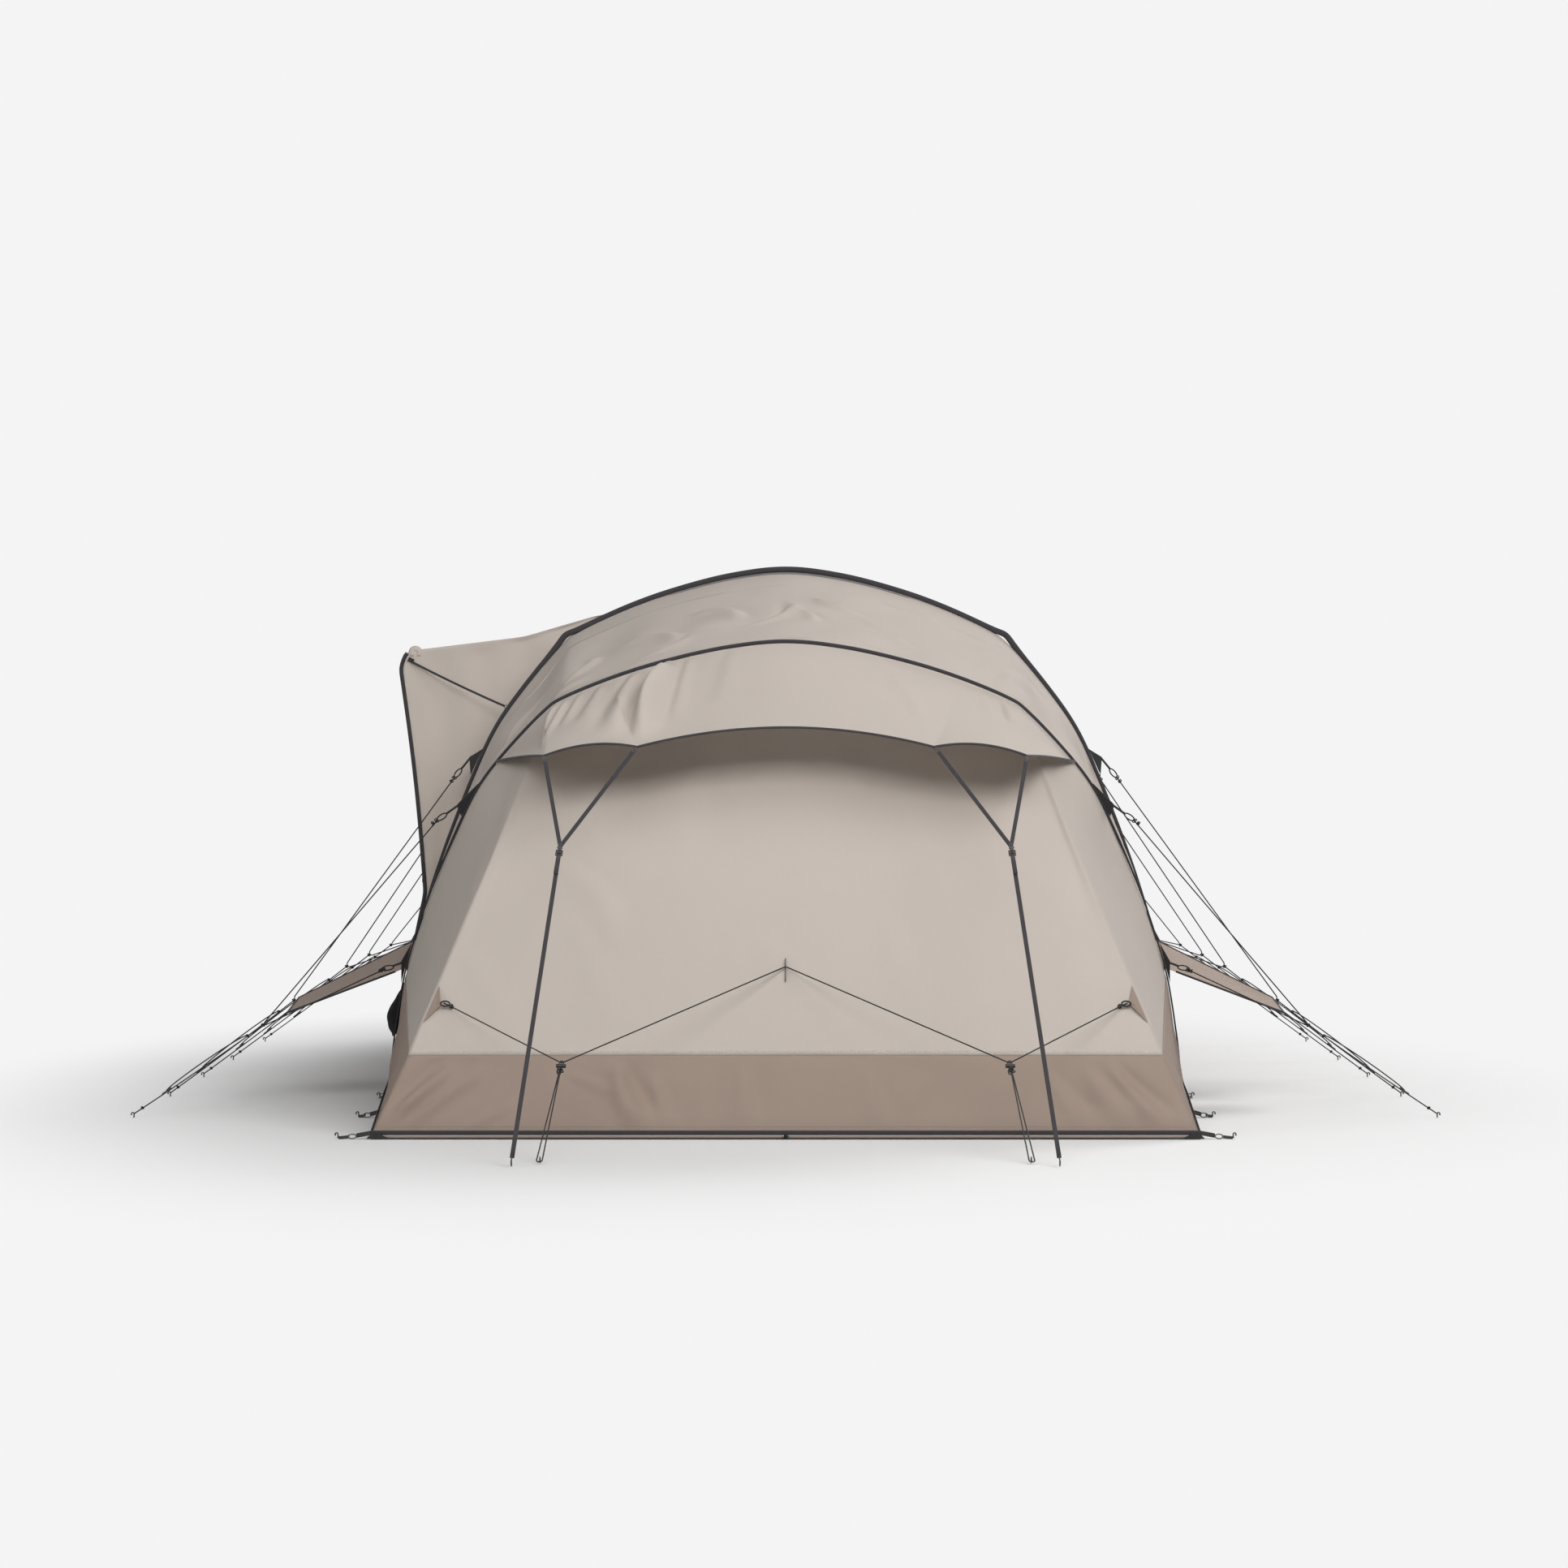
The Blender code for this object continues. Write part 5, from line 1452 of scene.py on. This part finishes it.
class TENT_OT_guys(bpy.types.Operator):
    """Guy lines with their sewn tabs, rings, bridles, doubled strands and pegs"""

    bl_idname = "tent.guys"
    bl_label = "Guy lines"

    def execute(self, context):
        for arch in range(5):
            for side, word in SIDES:
                upper, lower, corner, peg = guy_spots(arch, side)
                name = f"{word}_{arch + 1}"
                starts = []
                tabs = (
                    ("upper", *upper, GUY_UPPER_HEIGHTS[arch]),
                    ("lower", *lower, GUY_LOWER_HEIGHTS[arch]),
                )
                for place, root, end, z in tabs:
                    near_rises, rises, reach, strap_end, loop, knots = GUY_TABS[place]
                    stiff = GUY_TILT if place == "upper" and arch in (0, 4) else GUY_TILT / 4
                    run = ((corner - end).normalized() + Vector((0, 0, stiff))).normalized()
                    edge = Vector((0, -math.sin(lean_of(arch)), math.cos(lean_of(arch))))
                    high, low = [
                        Vector(on_arch(arch, (contour_x(z + rise) + 0.012, z + rise)) * (side, 1, 1))
                        for rise in (near_rises if arch == 0 else rises)
                    ]
                    tip = root.lerp(end, reach)
                    corners = [high, low, tip - edge * 0.010, tip + edge * 0.008]
                    tab(f"guy_tab_{place}_{name}", corners if side > 0 else corners[::-1], 0.0024)
                    strap_tip = end + run * strap_end
                    strap = np.array([tuple(tip.lerp(strap_tip, s)) for s in spread(6, -0.2, 1.0)])
                    webbing_strip(f"guy_strap_{place}_{name}", strap, (0, -1, 0.1), 0.009, "black_tape")
                    eye = end + run * loop
                    ring(f"guy_eye_{place}_{name}", eye, 0.0095, 0.0028, (0, 1, 0.2), "cord", 2.4, run)
                    for number, share in enumerate(knots):
                        size = 0.0105 - 0.002 * number
                        knot(f"guy_knot_{place}_{name}_{number + 1}", end + run * share, run, size)
                    starts.append(end + run * (knots[0] - 0.006))
                legs = rounded_route([starts[0], corner, starts[1]], 0.012)
                line_cord(f"guy_bridle_{name}", legs, stands_for=f"guy_line_{name}")
                tip = min((Vector(p) for p in legs), key=lambda p: (p - peg).length)
                line = sagged(np.array([tuple(tip.lerp(peg, s)) for s in spread(20)]), 0.004)
                line_cord(f"guy_cord_{name}", line)
                way = (peg - tip).normalized()
                knot(f"guy_join_{name}", tip + way * 0.006, way, 0.008)
                slider = peg.lerp(corner, SLIDER_SHARE)
                doubled_to = tip.lerp(peg, 0.13)
                across = way.cross(Vector((0, 0, 1))).normalized()
                strand = np.array([tuple(slider.lerp(doubled_to, s)) for s in spread(16)])
                lift = np.sin(np.pi * spread(16)) ** 0.5
                over = np.array(tuple(across.cross(way) * 0.010 + across * 0.002))
                line_cord(f"guy_strand_{name}", strand + lift[:, None] * over + over * 0.35)
                knot(f"guy_stop_{name}", doubled_to, way, 0.0065)
                knot(f"guy_foot_{name}", peg - way * 0.040, way, 0.0065)
                peg_head(f"guy_peg_{name}", peg, (side, 0, 0))
        return {"FINISHED"}


class TENT_OT_sliders(bpy.types.Operator):
    """Line sliders of the guy lines, moulded once and copied"""

    bl_idname = "tent.sliders"
    bl_label = "Guy line sliders"

    def execute(self, context):
        fresh()
        bpy.ops.mesh.primitive_grid_add(x_subdivisions=4, y_subdivisions=9, size=1)
        plate = bpy.context.active_object
        plate.scale = (0.016, 0.045, 1)
        bpy.ops.object.transform_apply(location=False, rotation=False, scale=True)
        pick_faces(plate, lambda c, n: abs(c.x) < 0.004 and 0.009 < abs(c.y) < 0.016)
        bpy.ops.mesh.delete(type="FACE")
        bpy.ops.object.mode_set(mode="OBJECT")
        wall = plate.modifiers.new("wall", "SOLIDIFY")
        wall.thickness = 0.0066
        wall.offset = 0
        bpy.ops.object.modifier_apply(modifier="wall")
        edge = plate.modifiers.new("edge", "BEVEL")
        edge.width = 0.0014
        edge.segments = 3
        bpy.ops.object.modifier_apply(modifier="edge")
        mesh = taken(plate)
        for arch in range(5):
            for side, word in SIDES:
                corner, peg = guy_spots(arch, side)[2:]
                frame = frame_at(peg.lerp(corner, SLIDER_SHARE), corner - peg)
                name = f"{word}_{arch + 1}"
                slider = f"slider_{name}"
                put(slider, mesh, frame, "plastic", slider, f"guy_{slider}")
        return {"FINISHED"}


def flap_edges(side):
    """The near and far ends of a flap's sewn edge and of its outer edge."""
    ends = [on_arch(arch, (contour_x(FLAP_HEIGHT) + 0.0006, FLAP_HEIGHT)) for arch in (0, 1)]
    way = (ends[1] - ends[0]) / np.linalg.norm(ends[1] - ends[0])
    near, far = ends[0] + way * 0.018, ends[1] - way * 0.018
    drop = math.atan2(sum(FLAP_DROPS) / 2, FLAP_REACH)
    up = np.array([math.sin(drop), 0, math.cos(drop)]) * 0.004
    corners = [near, near + (FLAP_REACH, 0, -FLAP_DROPS[0]), far, far + (FLAP_REACH, 0, -FLAP_DROPS[1])]
    return [(corner + up) * (side, 1, 1) for corner in corners]


class TENT_OT_flaps(bpy.types.Operator):
    """Brown side flaps held out between the first two arches"""

    bl_idname = "tent.flaps"
    bl_label = "Side flaps"

    def execute(self, context):
        for side, word in SIDES:
            near, near_out, far, far_out = flap_edges(side)
            shares = spread(41)
            near_line = np.array([near + (near_out - near) * s for s in shares])
            far_line = np.array([far + (far_out - far) * s for s in shares])
            grid = blended(near_line, far_line, spread(61))
            if side < 0:
                grid = grid[:, ::-1]
            slack = np.outer(np.sin(np.pi * spread(61)), np.sin(np.pi * shares))
            grid[..., 2] -= 0.011 * slack
            u, v = flat_size(grid)
            waves = np.sin(v * 9 + u * 7 * side) * 0.006 + ripples(u, v, 41 + side, 0.006, 0.5)
            grid = puffed(grid, waves * edge_fade(61, 41, 0.10, 0.12))
            node, body = f"side_flap_{word}", f"flap_{word}"
            cloth(f"flap_cloth_{word}", grid, "flap", "brown_canvas", "hung", node, body)
            outer = -1 if side > 0 else 0
            rim = np.concatenate([grid[0, ::side][4:], grid[1:, outer], grid[-1, ::-side][1:]])
            rounded(f"flap_piping_{word}", rim, 0.0042, "charcoal", sides=8, body=body)
        return {"FINISHED"}


def porch_line(inset=0.0, count=121):
    """The porch's outline, from its roof's seam over the front down to its foot."""
    low = [(contour_x(z) + PORCH_STANDOFF, z) for z in (*PORCH_KNEES, PORCH_BOTTOM)]
    corners = [np.array(p) for p in (*PORCH_ROOF, *PORCH_FRONT, *low)]
    runs = [0.0]
    for a, b in zip(corners, corners[1:]):
        runs.append(runs[-1] + float(np.linalg.norm(b - a)))
    at = spread(count, 0, runs[-1])
    flat = np.stack([np.interp(at, runs, [c[k] for c in corners]) for k in (0, 1)], axis=1)
    soft = flat.copy()
    for _ in range(2):
        soft[1:-1] = (soft[:-2] + 2 * soft[1:-1] + soft[2:]) / 4
    rise = np.clip((soft[:, 1] - 0.88) / (PORCH_FRONT[0][1] - 0.88), 0, 1)
    soft[:, 0] -= 0.002 + PORCH_BOW * np.sin(math.pi * rise) * (soft[:, 1] < PORCH_FRONT[0][1])
    way = np.gradient(soft, axis=0)
    way = way / np.linalg.norm(way, axis=1)[:, None]
    return soft + np.stack([way[:, 1], -way[:, 0]], axis=1) * inset, runs


def porch_x(z):
    line, _ = porch_line()
    low = line[line[:, 1] <= PORCH_FRONT[0][1] + 0.01]
    return float(np.interp(z, low[::-1, 1], low[::-1, 0]))


class TENT_OT_porch(bpy.types.Operator):
    """Side porch on the left: roof, front with its doorway, side walls, piping and roof strap"""

    bl_idname = "tent.porch"
    bl_label = "Side porch"

    def execute(self, context):
        line, _ = porch_line(0.0, 161)
        near, far = PORCH_NEAR, PORCH_FAR
        door_near, door_far = near + DOOR_MARGIN, far - DOOR_MARGIN
        ys = np.sort(np.unique(np.concatenate([spread(37, near, far), [door_near, door_far]])))
        grid = np.array([[(-x, y, z) for y in ys[::-1]] for x, z in line[::-1]])
        share = (ys[::-1] - near) / (far - near)
        roof = line[::-1, 1] > PORCH_FRONT[0][1]
        dip = np.where(roof, 0.014, 0.004)[:, None] * np.sin(np.pi * share)[None]
        grid = puffed(grid, -dip)
        middle = (grid[:-1, :-1] + grid[1:, 1:]) / 2
        y, z = middle[..., 1], middle[..., 2]
        hole = (y > door_near) & (y < door_far) & (z > DOOR_SILL) & (z < DOOR_TOP)
        hole &= middle[..., 0] < -1.3
        cloth("porch_front", grid, "beige", "beige_canvas", "stretched", "side_porch", keep=~hole)
        spots = spread(161)
        start = np.interp(line[0, 0], outline(spread(200, 0, 8))[:, 0], spread(200, 0, 8))
        body_line = outline(start + (13.35 - start) * spots**0.9) - (0.004, 0)
        for y, word in ((near, "near"), (far, "far")):
            outer = np.stack([-line[:, 0], 0 * spots + y, line[:, 1]], axis=1)
            inner = np.stack([-body_line[:, 0], 0 * spots + y, body_line[:, 1]], axis=1)
            side = np.stack([outer * (1 - s) + inner * s for s in spread(25)], axis=1)[::-1]
            if word == "far":
                side = side[:, ::-1]
            _, v = flat_size(side)
            pleats = np.sin((v * 2.0 + side[..., 0] * 34)) * 0.012 * np.clip(1 - v / v.max(), 0.2, 1)
            side = puffed(side, (pleats - 0.006) * edge_fade(161, 25, 0.05, 0.30))
            cloth(f"porch_side_{word}", side, "beige", "beige_canvas", "stretched")
            front = line[line[:, 1] < PORCH_ROOF[-1][1] - 0.004]
            rim = np.column_stack([-front[:, 0] + 0.003, np.full(len(front), y), front[:, 1]])
            radii = (0.0060, 0.0085)
            rounded(f"porch_piping_{word}", rim, radii, "charcoal", sides=8, up=(-1, 0, 0))
        for number, y in ((1, near + 0.012), (2, far - 0.012)):
            bump = [(x, y, z) for x, z in SLEEVE_END]
            sleeve = catmull(bump, spread(18, 0, 4))
            rounded(f"sleeve_end_{number}", sleeve, (0.0150, 0.0150), "beige")
            clip_y = y - 0.018 * (3 - 2 * number)
            clip = [(-1.582, clip_y, 1.826), (-1.560, clip_y, 1.815)]
            webbing_strip(f"sleeve_clip_{number}", np.array(clip), (0, -1, 0), 0.018, "black_tape")
        strap = np.array([(-1.573, near - 0.004, 1.816), (-1.171, FIRST_UPRIGHT + 0.03, 1.627)])
        strap = strap[0] * (1 - spread(16)[:, None]) + strap[1] * spread(16)[:, None]
        webbing_strip("porch_strap", sagged(strap, 0.004), (0, -1, 0.4), 0.010, "black_tape")
        ring("porch_strap_ring", strap[-1] + (0.008, -0.004, -0.004), 0.008, 0.0015, (0, 1, 0.2))
        return {"FINISHED"}


class TENT_OT_door(bpy.types.Operator):
    """Zipped door of the porch, with its tape and teeth"""

    bl_idname = "tent.door"
    bl_label = "Porch door"

    def execute(self, context):
        near = PORCH_NEAR + DOOR_MARGIN + DOOR_CLEARANCE
        far = PORCH_FAR - DOOR_MARGIN - 0.0005
        heights = spread(121, DOOR_SILL + DOOR_CLEARANCE, DOOR_TOP - DOOR_CLEARANCE)
        columns = spread(37, far, near)
        grid = np.array([[(-porch_x(z), y, z) for y in columns] for z in heights])
        grid = folded(grid, (((-0.2, 0.3), (0.1, 0.8), 0.04, 0.004),), 101, 0.004, 0.04, 0.06, 0.5)
        cloth("door_cloth", grid, "beige", "beige_canvas", "hung", "door_panel", "door")
        zs = spread(161, DOOR_SILL + 0.006, DOOR_TOP - 0.006)
        for name, y, body in (("door_tape", near + 0.007, "door"), ("frame_tape", near - 0.011, "tent")):
            path = np.array([(-porch_x(z) - 0.0012, y, z) for z in zs])
            webbing_strip(name, path, (-1, 0, 0), 0.012, "black_tape", body)
        teeth = np.array([(-porch_x(z) - 0.0022, near + 0.0006, z) for z in zs])
        rounded("door_teeth", teeth, (0.0018, 0.0016), "plastic", sides=8, body="door")
        top = np.array([(-porch_x(DOOR_TOP) - 0.0012, y, DOOR_TOP + 0.006) for y in spread(24, near, far)])
        webbing_strip("door_top_tape", top, (-1, 0, 0), 0.012, "black_tape")
        return {"FINISHED"}


class TENT_OT_zip_slider(bpy.types.Operator):
    """Slider and pull of the porch door's zip"""

    bl_idname = "tent.zip_slider"
    bl_label = "Zip slider"

    def execute(self, context):
        fresh()
        bpy.ops.mesh.primitive_grid_add(x_subdivisions=4, y_subdivisions=6, size=1)
        body = bpy.context.active_object
        body.scale = (0.010, 0.016, 1)
        bpy.ops.object.transform_apply(location=False, rotation=False, scale=True)
        pick_faces(body, lambda c, n: abs(c.x) < 0.003 and abs(c.y) < 0.0030)
        bpy.ops.mesh.extrude_region_move(TRANSFORM_OT_translate={"value": (0, 0, 0.002)})
        bpy.ops.object.mode_set(mode="OBJECT")
        wall = body.modifiers.new("wall", "SOLIDIFY")
        wall.thickness = 0.0024
        bpy.ops.object.modifier_apply(modifier="wall")
        edge = body.modifiers.new("edge", "BEVEL")
        edge.width = 0.0005
        edge.segments = 2
        bpy.ops.object.modifier_apply(modifier="edge")
        mesh = taken(body)
        y = PORCH_NEAR + DOOR_MARGIN - 0.005 - DOOR_CLEARANCE
        low = Vector((-porch_x(0.914) - 0.0065, y, 0.914))
        frame = frame_at(low, (0, 0, 1), (-1, 0, 0))
        put("zip_slider_body", mesh, frame, "steel", "door_zip", "zip_slider")
        fresh()
        bpy.ops.mesh.primitive_grid_add(x_subdivisions=4, y_subdivisions=8, size=1)
        pull = bpy.context.active_object
        pull.scale = (0.007, 0.026, 1)
        bpy.ops.object.transform_apply(location=False, rotation=False, scale=True)
        pick_faces(pull, lambda c, n: abs(c.x) < 0.002 and abs(c.y - 0.008) < 0.003)
        bpy.ops.mesh.delete(type="FACE")
        bpy.ops.object.mode_set(mode="OBJECT")
        wall = pull.modifiers.new("wall", "SOLIDIFY")
        wall.thickness = 0.0012
        bpy.ops.object.modifier_apply(modifier="wall")
        mesh = taken(pull)
        hang = Vector((-porch_x(0.900) - 0.0105, y, 0.9))
        put("zip_pull", mesh, frame_at(hang, (0, 0, 1), (-1, 0, 0)), "steel", "door_zip")
        return {"FINISHED"}


def skirt_spot(y, z, out=0.0):
    """A point on the left skirt between the first two arches' legs."""
    height = z
    for _ in range(20):
        near, far = [on_arch(arch, (contour_x(height), height)) for arch in (0, 1)]
        share = (y - near[1]) / (far[1] - near[1])
        height += z - (near[2] + (far[2] - near[2]) * share)
    return np.array([-(near[0] + (far[0] - near[0]) * share) - out, y, z])


def every_other_side(centre, normal):
    """Whether a face is one of every second face round a cap's rim."""
    turn = int((math.atan2(centre.y, centre.x) + math.pi) / math.pi * 20)
    return abs(normal.z) < 0.2 and turn % 2


class TENT_OT_valve(bpy.types.Operator):
    """Inflation valve with its cap, and the black pouch over it"""

    bl_idname = "tent.valve"
    bl_label = "Valve and pouch"

    def execute(self, context):
        grid = []
        depths = np.array(POUCH_PROFILE)
        spots = spread(41)
        index = spread(33, 0, len(depths) - 1)
        profile = catmull(depths, index)
        for z, depth in profile[::-1]:
            row = []
            for s in spots:
                y = VALVE_Y + POUCH_WIDTH * (0.5 - s)
                row.append(skirt_spot(y, z, 0.0049 + depth * math.sin(math.pi * s) ** 0.7))
            grid.append(row)
        grid = np.array(grid)
        grid = puffed(grid, ripples(*flat_size(grid), 121, 0.003, 0.09) * edge_fade(33, 41, 0.1, 0.15))
        cloth("pouch_cloth", grid, "pouch", "black_fabric", "gathered", "valve_pouch")
        rim = np.concatenate([grid[0, ::-1], grid[1:, 0], grid[-1, 1:], grid[::-1, -1][1:-1]])
        rounded("pouch_binding", rim, (0.0025, 0.0030), "black_tape", sides=8, closed=True)
        base = skirt_spot(VALVE_Y, 0.36)
        up, back = skirt_spot(VALVE_Y, 0.37) - base, skirt_spot(VALVE_Y + 0.01, 0.36) - base
        normal = Vector(np.cross(up, back)).normalized()
        normal = -normal if normal.x > 0 else normal
        for name, radius, depth, lift, body, node in (
            ("valve_base", 0.020, 0.010, 0.0056, "tent", "valve_body"),
            ("valve_lid", 0.023, 0.009, 0.0154, "cap", "valve_cap"),
        ):
            fresh()
            bpy.ops.mesh.primitive_cylinder_add(vertices=40, radius=radius, depth=depth)
            disc = bpy.context.active_object
            pick_faces(disc, lambda c, n: n.z > 0.9)
            bpy.ops.mesh.inset(thickness=radius * 0.28)
            bpy.ops.transform.translate(value=(0, 0, -depth * 0.22))
            bpy.ops.mesh.inset(thickness=radius * 0.30)
            bpy.ops.transform.translate(value=(0, 0, depth * 0.20))
            if body == "cap":
                pick_faces(disc, every_other_side)
                bpy.ops.mesh.inset(thickness=0.0006, use_individual=True)
                bpy.ops.transform.resize(value=(0.965, 0.965, 1))
            bpy.ops.object.mode_set(mode="OBJECT")
            edge = disc.modifiers.new("edge", "BEVEL")
            edge.width = 0.0006
            edge.segments = 2
            edge.angle_limit = math.radians(50)
            bpy.ops.object.modifier_apply(modifier="edge")
            mesh = taken(disc)
            spot = Vector(base) + normal * lift
            turn = normal.to_track_quat("Z", "Y").to_matrix().to_4x4()
            place = Matrix.Translation(spot - Vector((0, ORIGIN_Y, 0))) @ turn
            put(name, mesh, place, "plastic", body, node)
        return {"FINISHED"}


class TENT_OT_air_line(bpy.types.Operator):
    """Hose that joins the beams' feet inside the tent"""

    bl_idname = "tent.air_line"
    bl_label = "Air line"

    def execute(self, context):
        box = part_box("air_line")
        low, high = np.array(box[0]), np.array(box[1])
        middle = (low + high) / 2
        path = np.array([(middle[0], y + ORIGIN_Y, middle[2]) for y in spread(60, low[1], high[1])])
        rounded("air_hose", path, float(high[0] - low[0]) / 2, "plastic", sides=14)
        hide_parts("air_line")
        return {"FINISHED"}


class TENT_OT_base_hardware(bpy.types.Operator):
    """Peg loops along the base, corner straps with rings, base pegs and the door cord's toggle"""

    bl_idname = "tent.base_hardware"
    bl_label = "Base hardware"

    def execute(self, context):
        for side, word in SIDES:
            for number, (edge_x, edge_y, peg_x, peg_y) in enumerate(
                ((1.543, 0.0, 1.655, 0.02), (1.603, 0.92, 1.668, 0.94), (1.658, 1.80, 1.672, 1.87))
            ):
                name = f"{word}_{number + 1}"
                start = Vector((side * (edge_x - 0.010), edge_y, 0.026))
                peg = Vector((side * (peg_x + 0.012), peg_y, 0.010))
                way = (peg - start).normalized()
                reach = (peg - start).length
                path = []
                for s in spread(9, 0, 0.48):
                    path.append(tuple(start + way * reach * s + Vector((0, 0, -0.010 * s))))
                path = np.array(path)
                webbing_strip(f"base_strap_{name}", path, (0, -1, 0.5), 0.018, "black_tape")
                eye = start + way * reach * 0.60 + Vector((0, 0, -0.006))
                ring(f"base_ring_{name}", eye, 0.010, 0.0024, (0, -1, 0.8), stretch=1.5, along=way)
                path = []
                for s in spread(6, 0.68, 0.98):
                    path.append(tuple(start + way * reach * s + Vector((0, 0, -0.006))))
                path = np.array(path)
                webbing_strip(f"base_loop_{name}", path, (0, -1, 0.8), 0.014, "black_tape")
                peg_head(f"base_peg_{name}", peg, (side, 0, 0))
        turns = spread(16, 0, 2.6)
        toggle = np.stack([0.012 * np.sin(turns * 2), -0.004 - 0.004 * turns, 0.014 - 0.002 * turns], axis=1)
        rounded("base_toggle_cord", toggle, 0.0016, "cord", sides=6)
        knot("base_toggle_knot", (0.0, -0.009, 0.013), (1, 0, 0), 0.008)
        return {"FINISHED"}


class TENT_OT_stage(bpy.types.Operator):
    """Pale studio floor, soft overhead light and the camera at the photograph's place"""

    bl_idname = "tent.stage"
    bl_label = "Studio"

    def execute(self, context):
        fresh()
        bpy.ops.mesh.primitive_plane_add(size=60)
        floor = bpy.context.active_object
        floor.name = "studio_floor"
        floor.location = (0, 0, -0.0005)
        graph = Graph("studio_floor")
        tint = colours().floor
        seen = graph.add("ShaderNodeLightPath", output=0)
        graph.set("Base Color", graph.mix(seen, shade(tint, 0.55), shade(tint, 1.0)))
        graph.set("Roughness", 0.9)
        graph.set("Specular IOR Level", 0.1)
        glow = graph.add("ShaderNodeEmission", {}, Color=(BACKDROP, BACKDROP, BACKDROP, 1.0), Strength=1.0)
        oval = (1 / FLOOR_OVAL[0], 1 / FLOOR_OVAL[1], 0)
        spot = graph.add("ShaderNodeVectorMath", {"operation": "MULTIPLY"}, graph.place(), oval)
        away = graph.add("ShaderNodeVectorMath", {"operation": "LENGTH"}, spot, output=1)
        edge = graph.add(
            "ShaderNodeMapRange",
            {"clamp": True, "interpolation_type": "SMOOTHSTEP"},
            Value=away,
            From_Min=FLOOR_FADE[0],
            From_Max=FLOOR_FADE[1],
            To_Min=0.0,
            To_Max=1.0,
        )
        out = graph.tree.nodes["Material Output"]
        mixed = graph.add("ShaderNodeMixShader")
        node = mixed.socket.node
        graph.tree.links.new((seen * edge).socket, node.inputs[0])
        graph.tree.links.new(graph.shader.outputs[0], node.inputs[1])
        graph.tree.links.new(glow.socket, node.inputs[2])
        graph.tree.links.new(node.outputs[0], out.inputs["Surface"])
        floor.data.materials.append(graph.material)

        world = bpy.data.worlds.new("studio")
        bpy.context.scene.world = world
        world.use_nodes = True
        nodes, links = world.node_tree.nodes, world.node_tree.links
        nodes.clear()
        path = nodes.new("ShaderNodeLightPath")
        plain, shown = nodes.new("ShaderNodeBackground"), nodes.new("ShaderNodeBackground")
        plain.inputs["Color"].default_value = (1.0, 1.0, 1.0, 1.0)
        plain.inputs["Strength"].default_value = AMBIENT
        shown.inputs["Color"].default_value = (BACKDROP, BACKDROP, BACKDROP, 1.0)
        pick = nodes.new("ShaderNodeMath")
        pick.operation = "MAXIMUM"
        other = nodes.new("ShaderNodeMath")
        other.operation = "MAXIMUM"
        links.new(path.outputs["Is Glossy Ray"], pick.inputs[0])
        links.new(path.outputs["Is Transmission Ray"], pick.inputs[1])
        links.new(path.outputs["Is Camera Ray"], other.inputs[0])
        links.new(pick.outputs[0], other.inputs[1])
        mix, end = nodes.new("ShaderNodeMixShader"), nodes.new("ShaderNodeOutputWorld")
        links.new(other.outputs[0], mix.inputs[0])
        links.new(plain.outputs[0], mix.inputs[1])
        links.new(shown.outputs[0], mix.inputs[2])
        links.new(mix.outputs[0], end.inputs["Surface"])

        for name, place, aim, size, power in LAMPS:
            lamp = bpy.data.lights.new(name, "AREA")
            lamp.shape = "RECTANGLE"
            lamp.size, lamp.size_y = size
            lamp.energy = power
            holder = bpy.data.objects.new(name, lamp)
            holder.location = place
            holder.rotation_euler = (Vector(aim) - Vector(place)).to_track_quat("-Z", "Y").to_euler()
            bpy.context.scene.collection.objects.link(holder)

        camera = bpy.data.cameras.new("camera")
        camera.lens = 100
        camera.sensor_width = 36
        camera.shift_x, camera.shift_y = CAMERA_SHIFT
        holder = bpy.data.objects.new("camera", camera)
        holder.location = (0, -CAMERA_DISTANCE - ORIGIN_Y, CAMERA_HEIGHT)
        holder.rotation_euler = (math.pi / 2, 0, 0)
        bpy.context.scene.collection.objects.link(holder)
        bpy.context.scene.camera = holder
        bpy.context.scene.view_settings.view_transform = "Standard"
        return {"FINISHED"}


OPERATORS = (
    TENT_OT_stage,
    TENT_OT_guys,
    TENT_OT_front_cords,
    TENT_OT_bays,
    TENT_OT_side_skirts,
    TENT_OT_end_walls,
    TENT_OT_hood,
    TENT_OT_piping,
    TENT_OT_beams,
    TENT_OT_ground,
    TENT_OT_straps,
    TENT_OT_buckles,
    TENT_OT_runners,
    TENT_OT_sliders,
    TENT_OT_flaps,
    TENT_OT_porch,
    TENT_OT_door,
    TENT_OT_zip_slider,
    TENT_OT_valve,
    TENT_OT_air_line,
    TENT_OT_base_hardware,
)


class TENT_PT_panel(bpy.types.Panel):
    """Lists the tent's pieces, sizes and colours in the sidebar"""

    bl_idname = "TENT_PT_panel"
    bl_label = "Inflatable tent"
    bl_space_type = "VIEW_3D"
    bl_region_type = "UI"
    bl_category = "Tent"

    def draw(self, context):
        layout = self.layout
        for group in (context.scene.tent_sizes, context.scene.tent_colours):
            box = layout.box()
            for key in group.__annotations__:
                box.prop(group, key)
        for operator in OPERATORS:
            layout.operator(operator.bl_idname)


CLASSES = (TentSizes, TentColours, *OPERATORS, TENT_PT_panel)


def register():
    for item in CLASSES:
        bpy.utils.register_class(item)
    bpy.types.Scene.tent_sizes = PointerProperty(type=TentSizes)
    bpy.types.Scene.tent_colours = PointerProperty(type=TentColours)


def unregister():
    del bpy.types.Scene.tent_colours
    del bpy.types.Scene.tent_sizes
    for item in reversed(CLASSES):
        bpy.utils.unregister_class(item)


def main():
    register()
    for operator in OPERATORS:
        getattr(bpy.ops.tent, operator.bl_idname.split(".")[1])()
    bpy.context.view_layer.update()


if __name__ == "__main__":
    main()
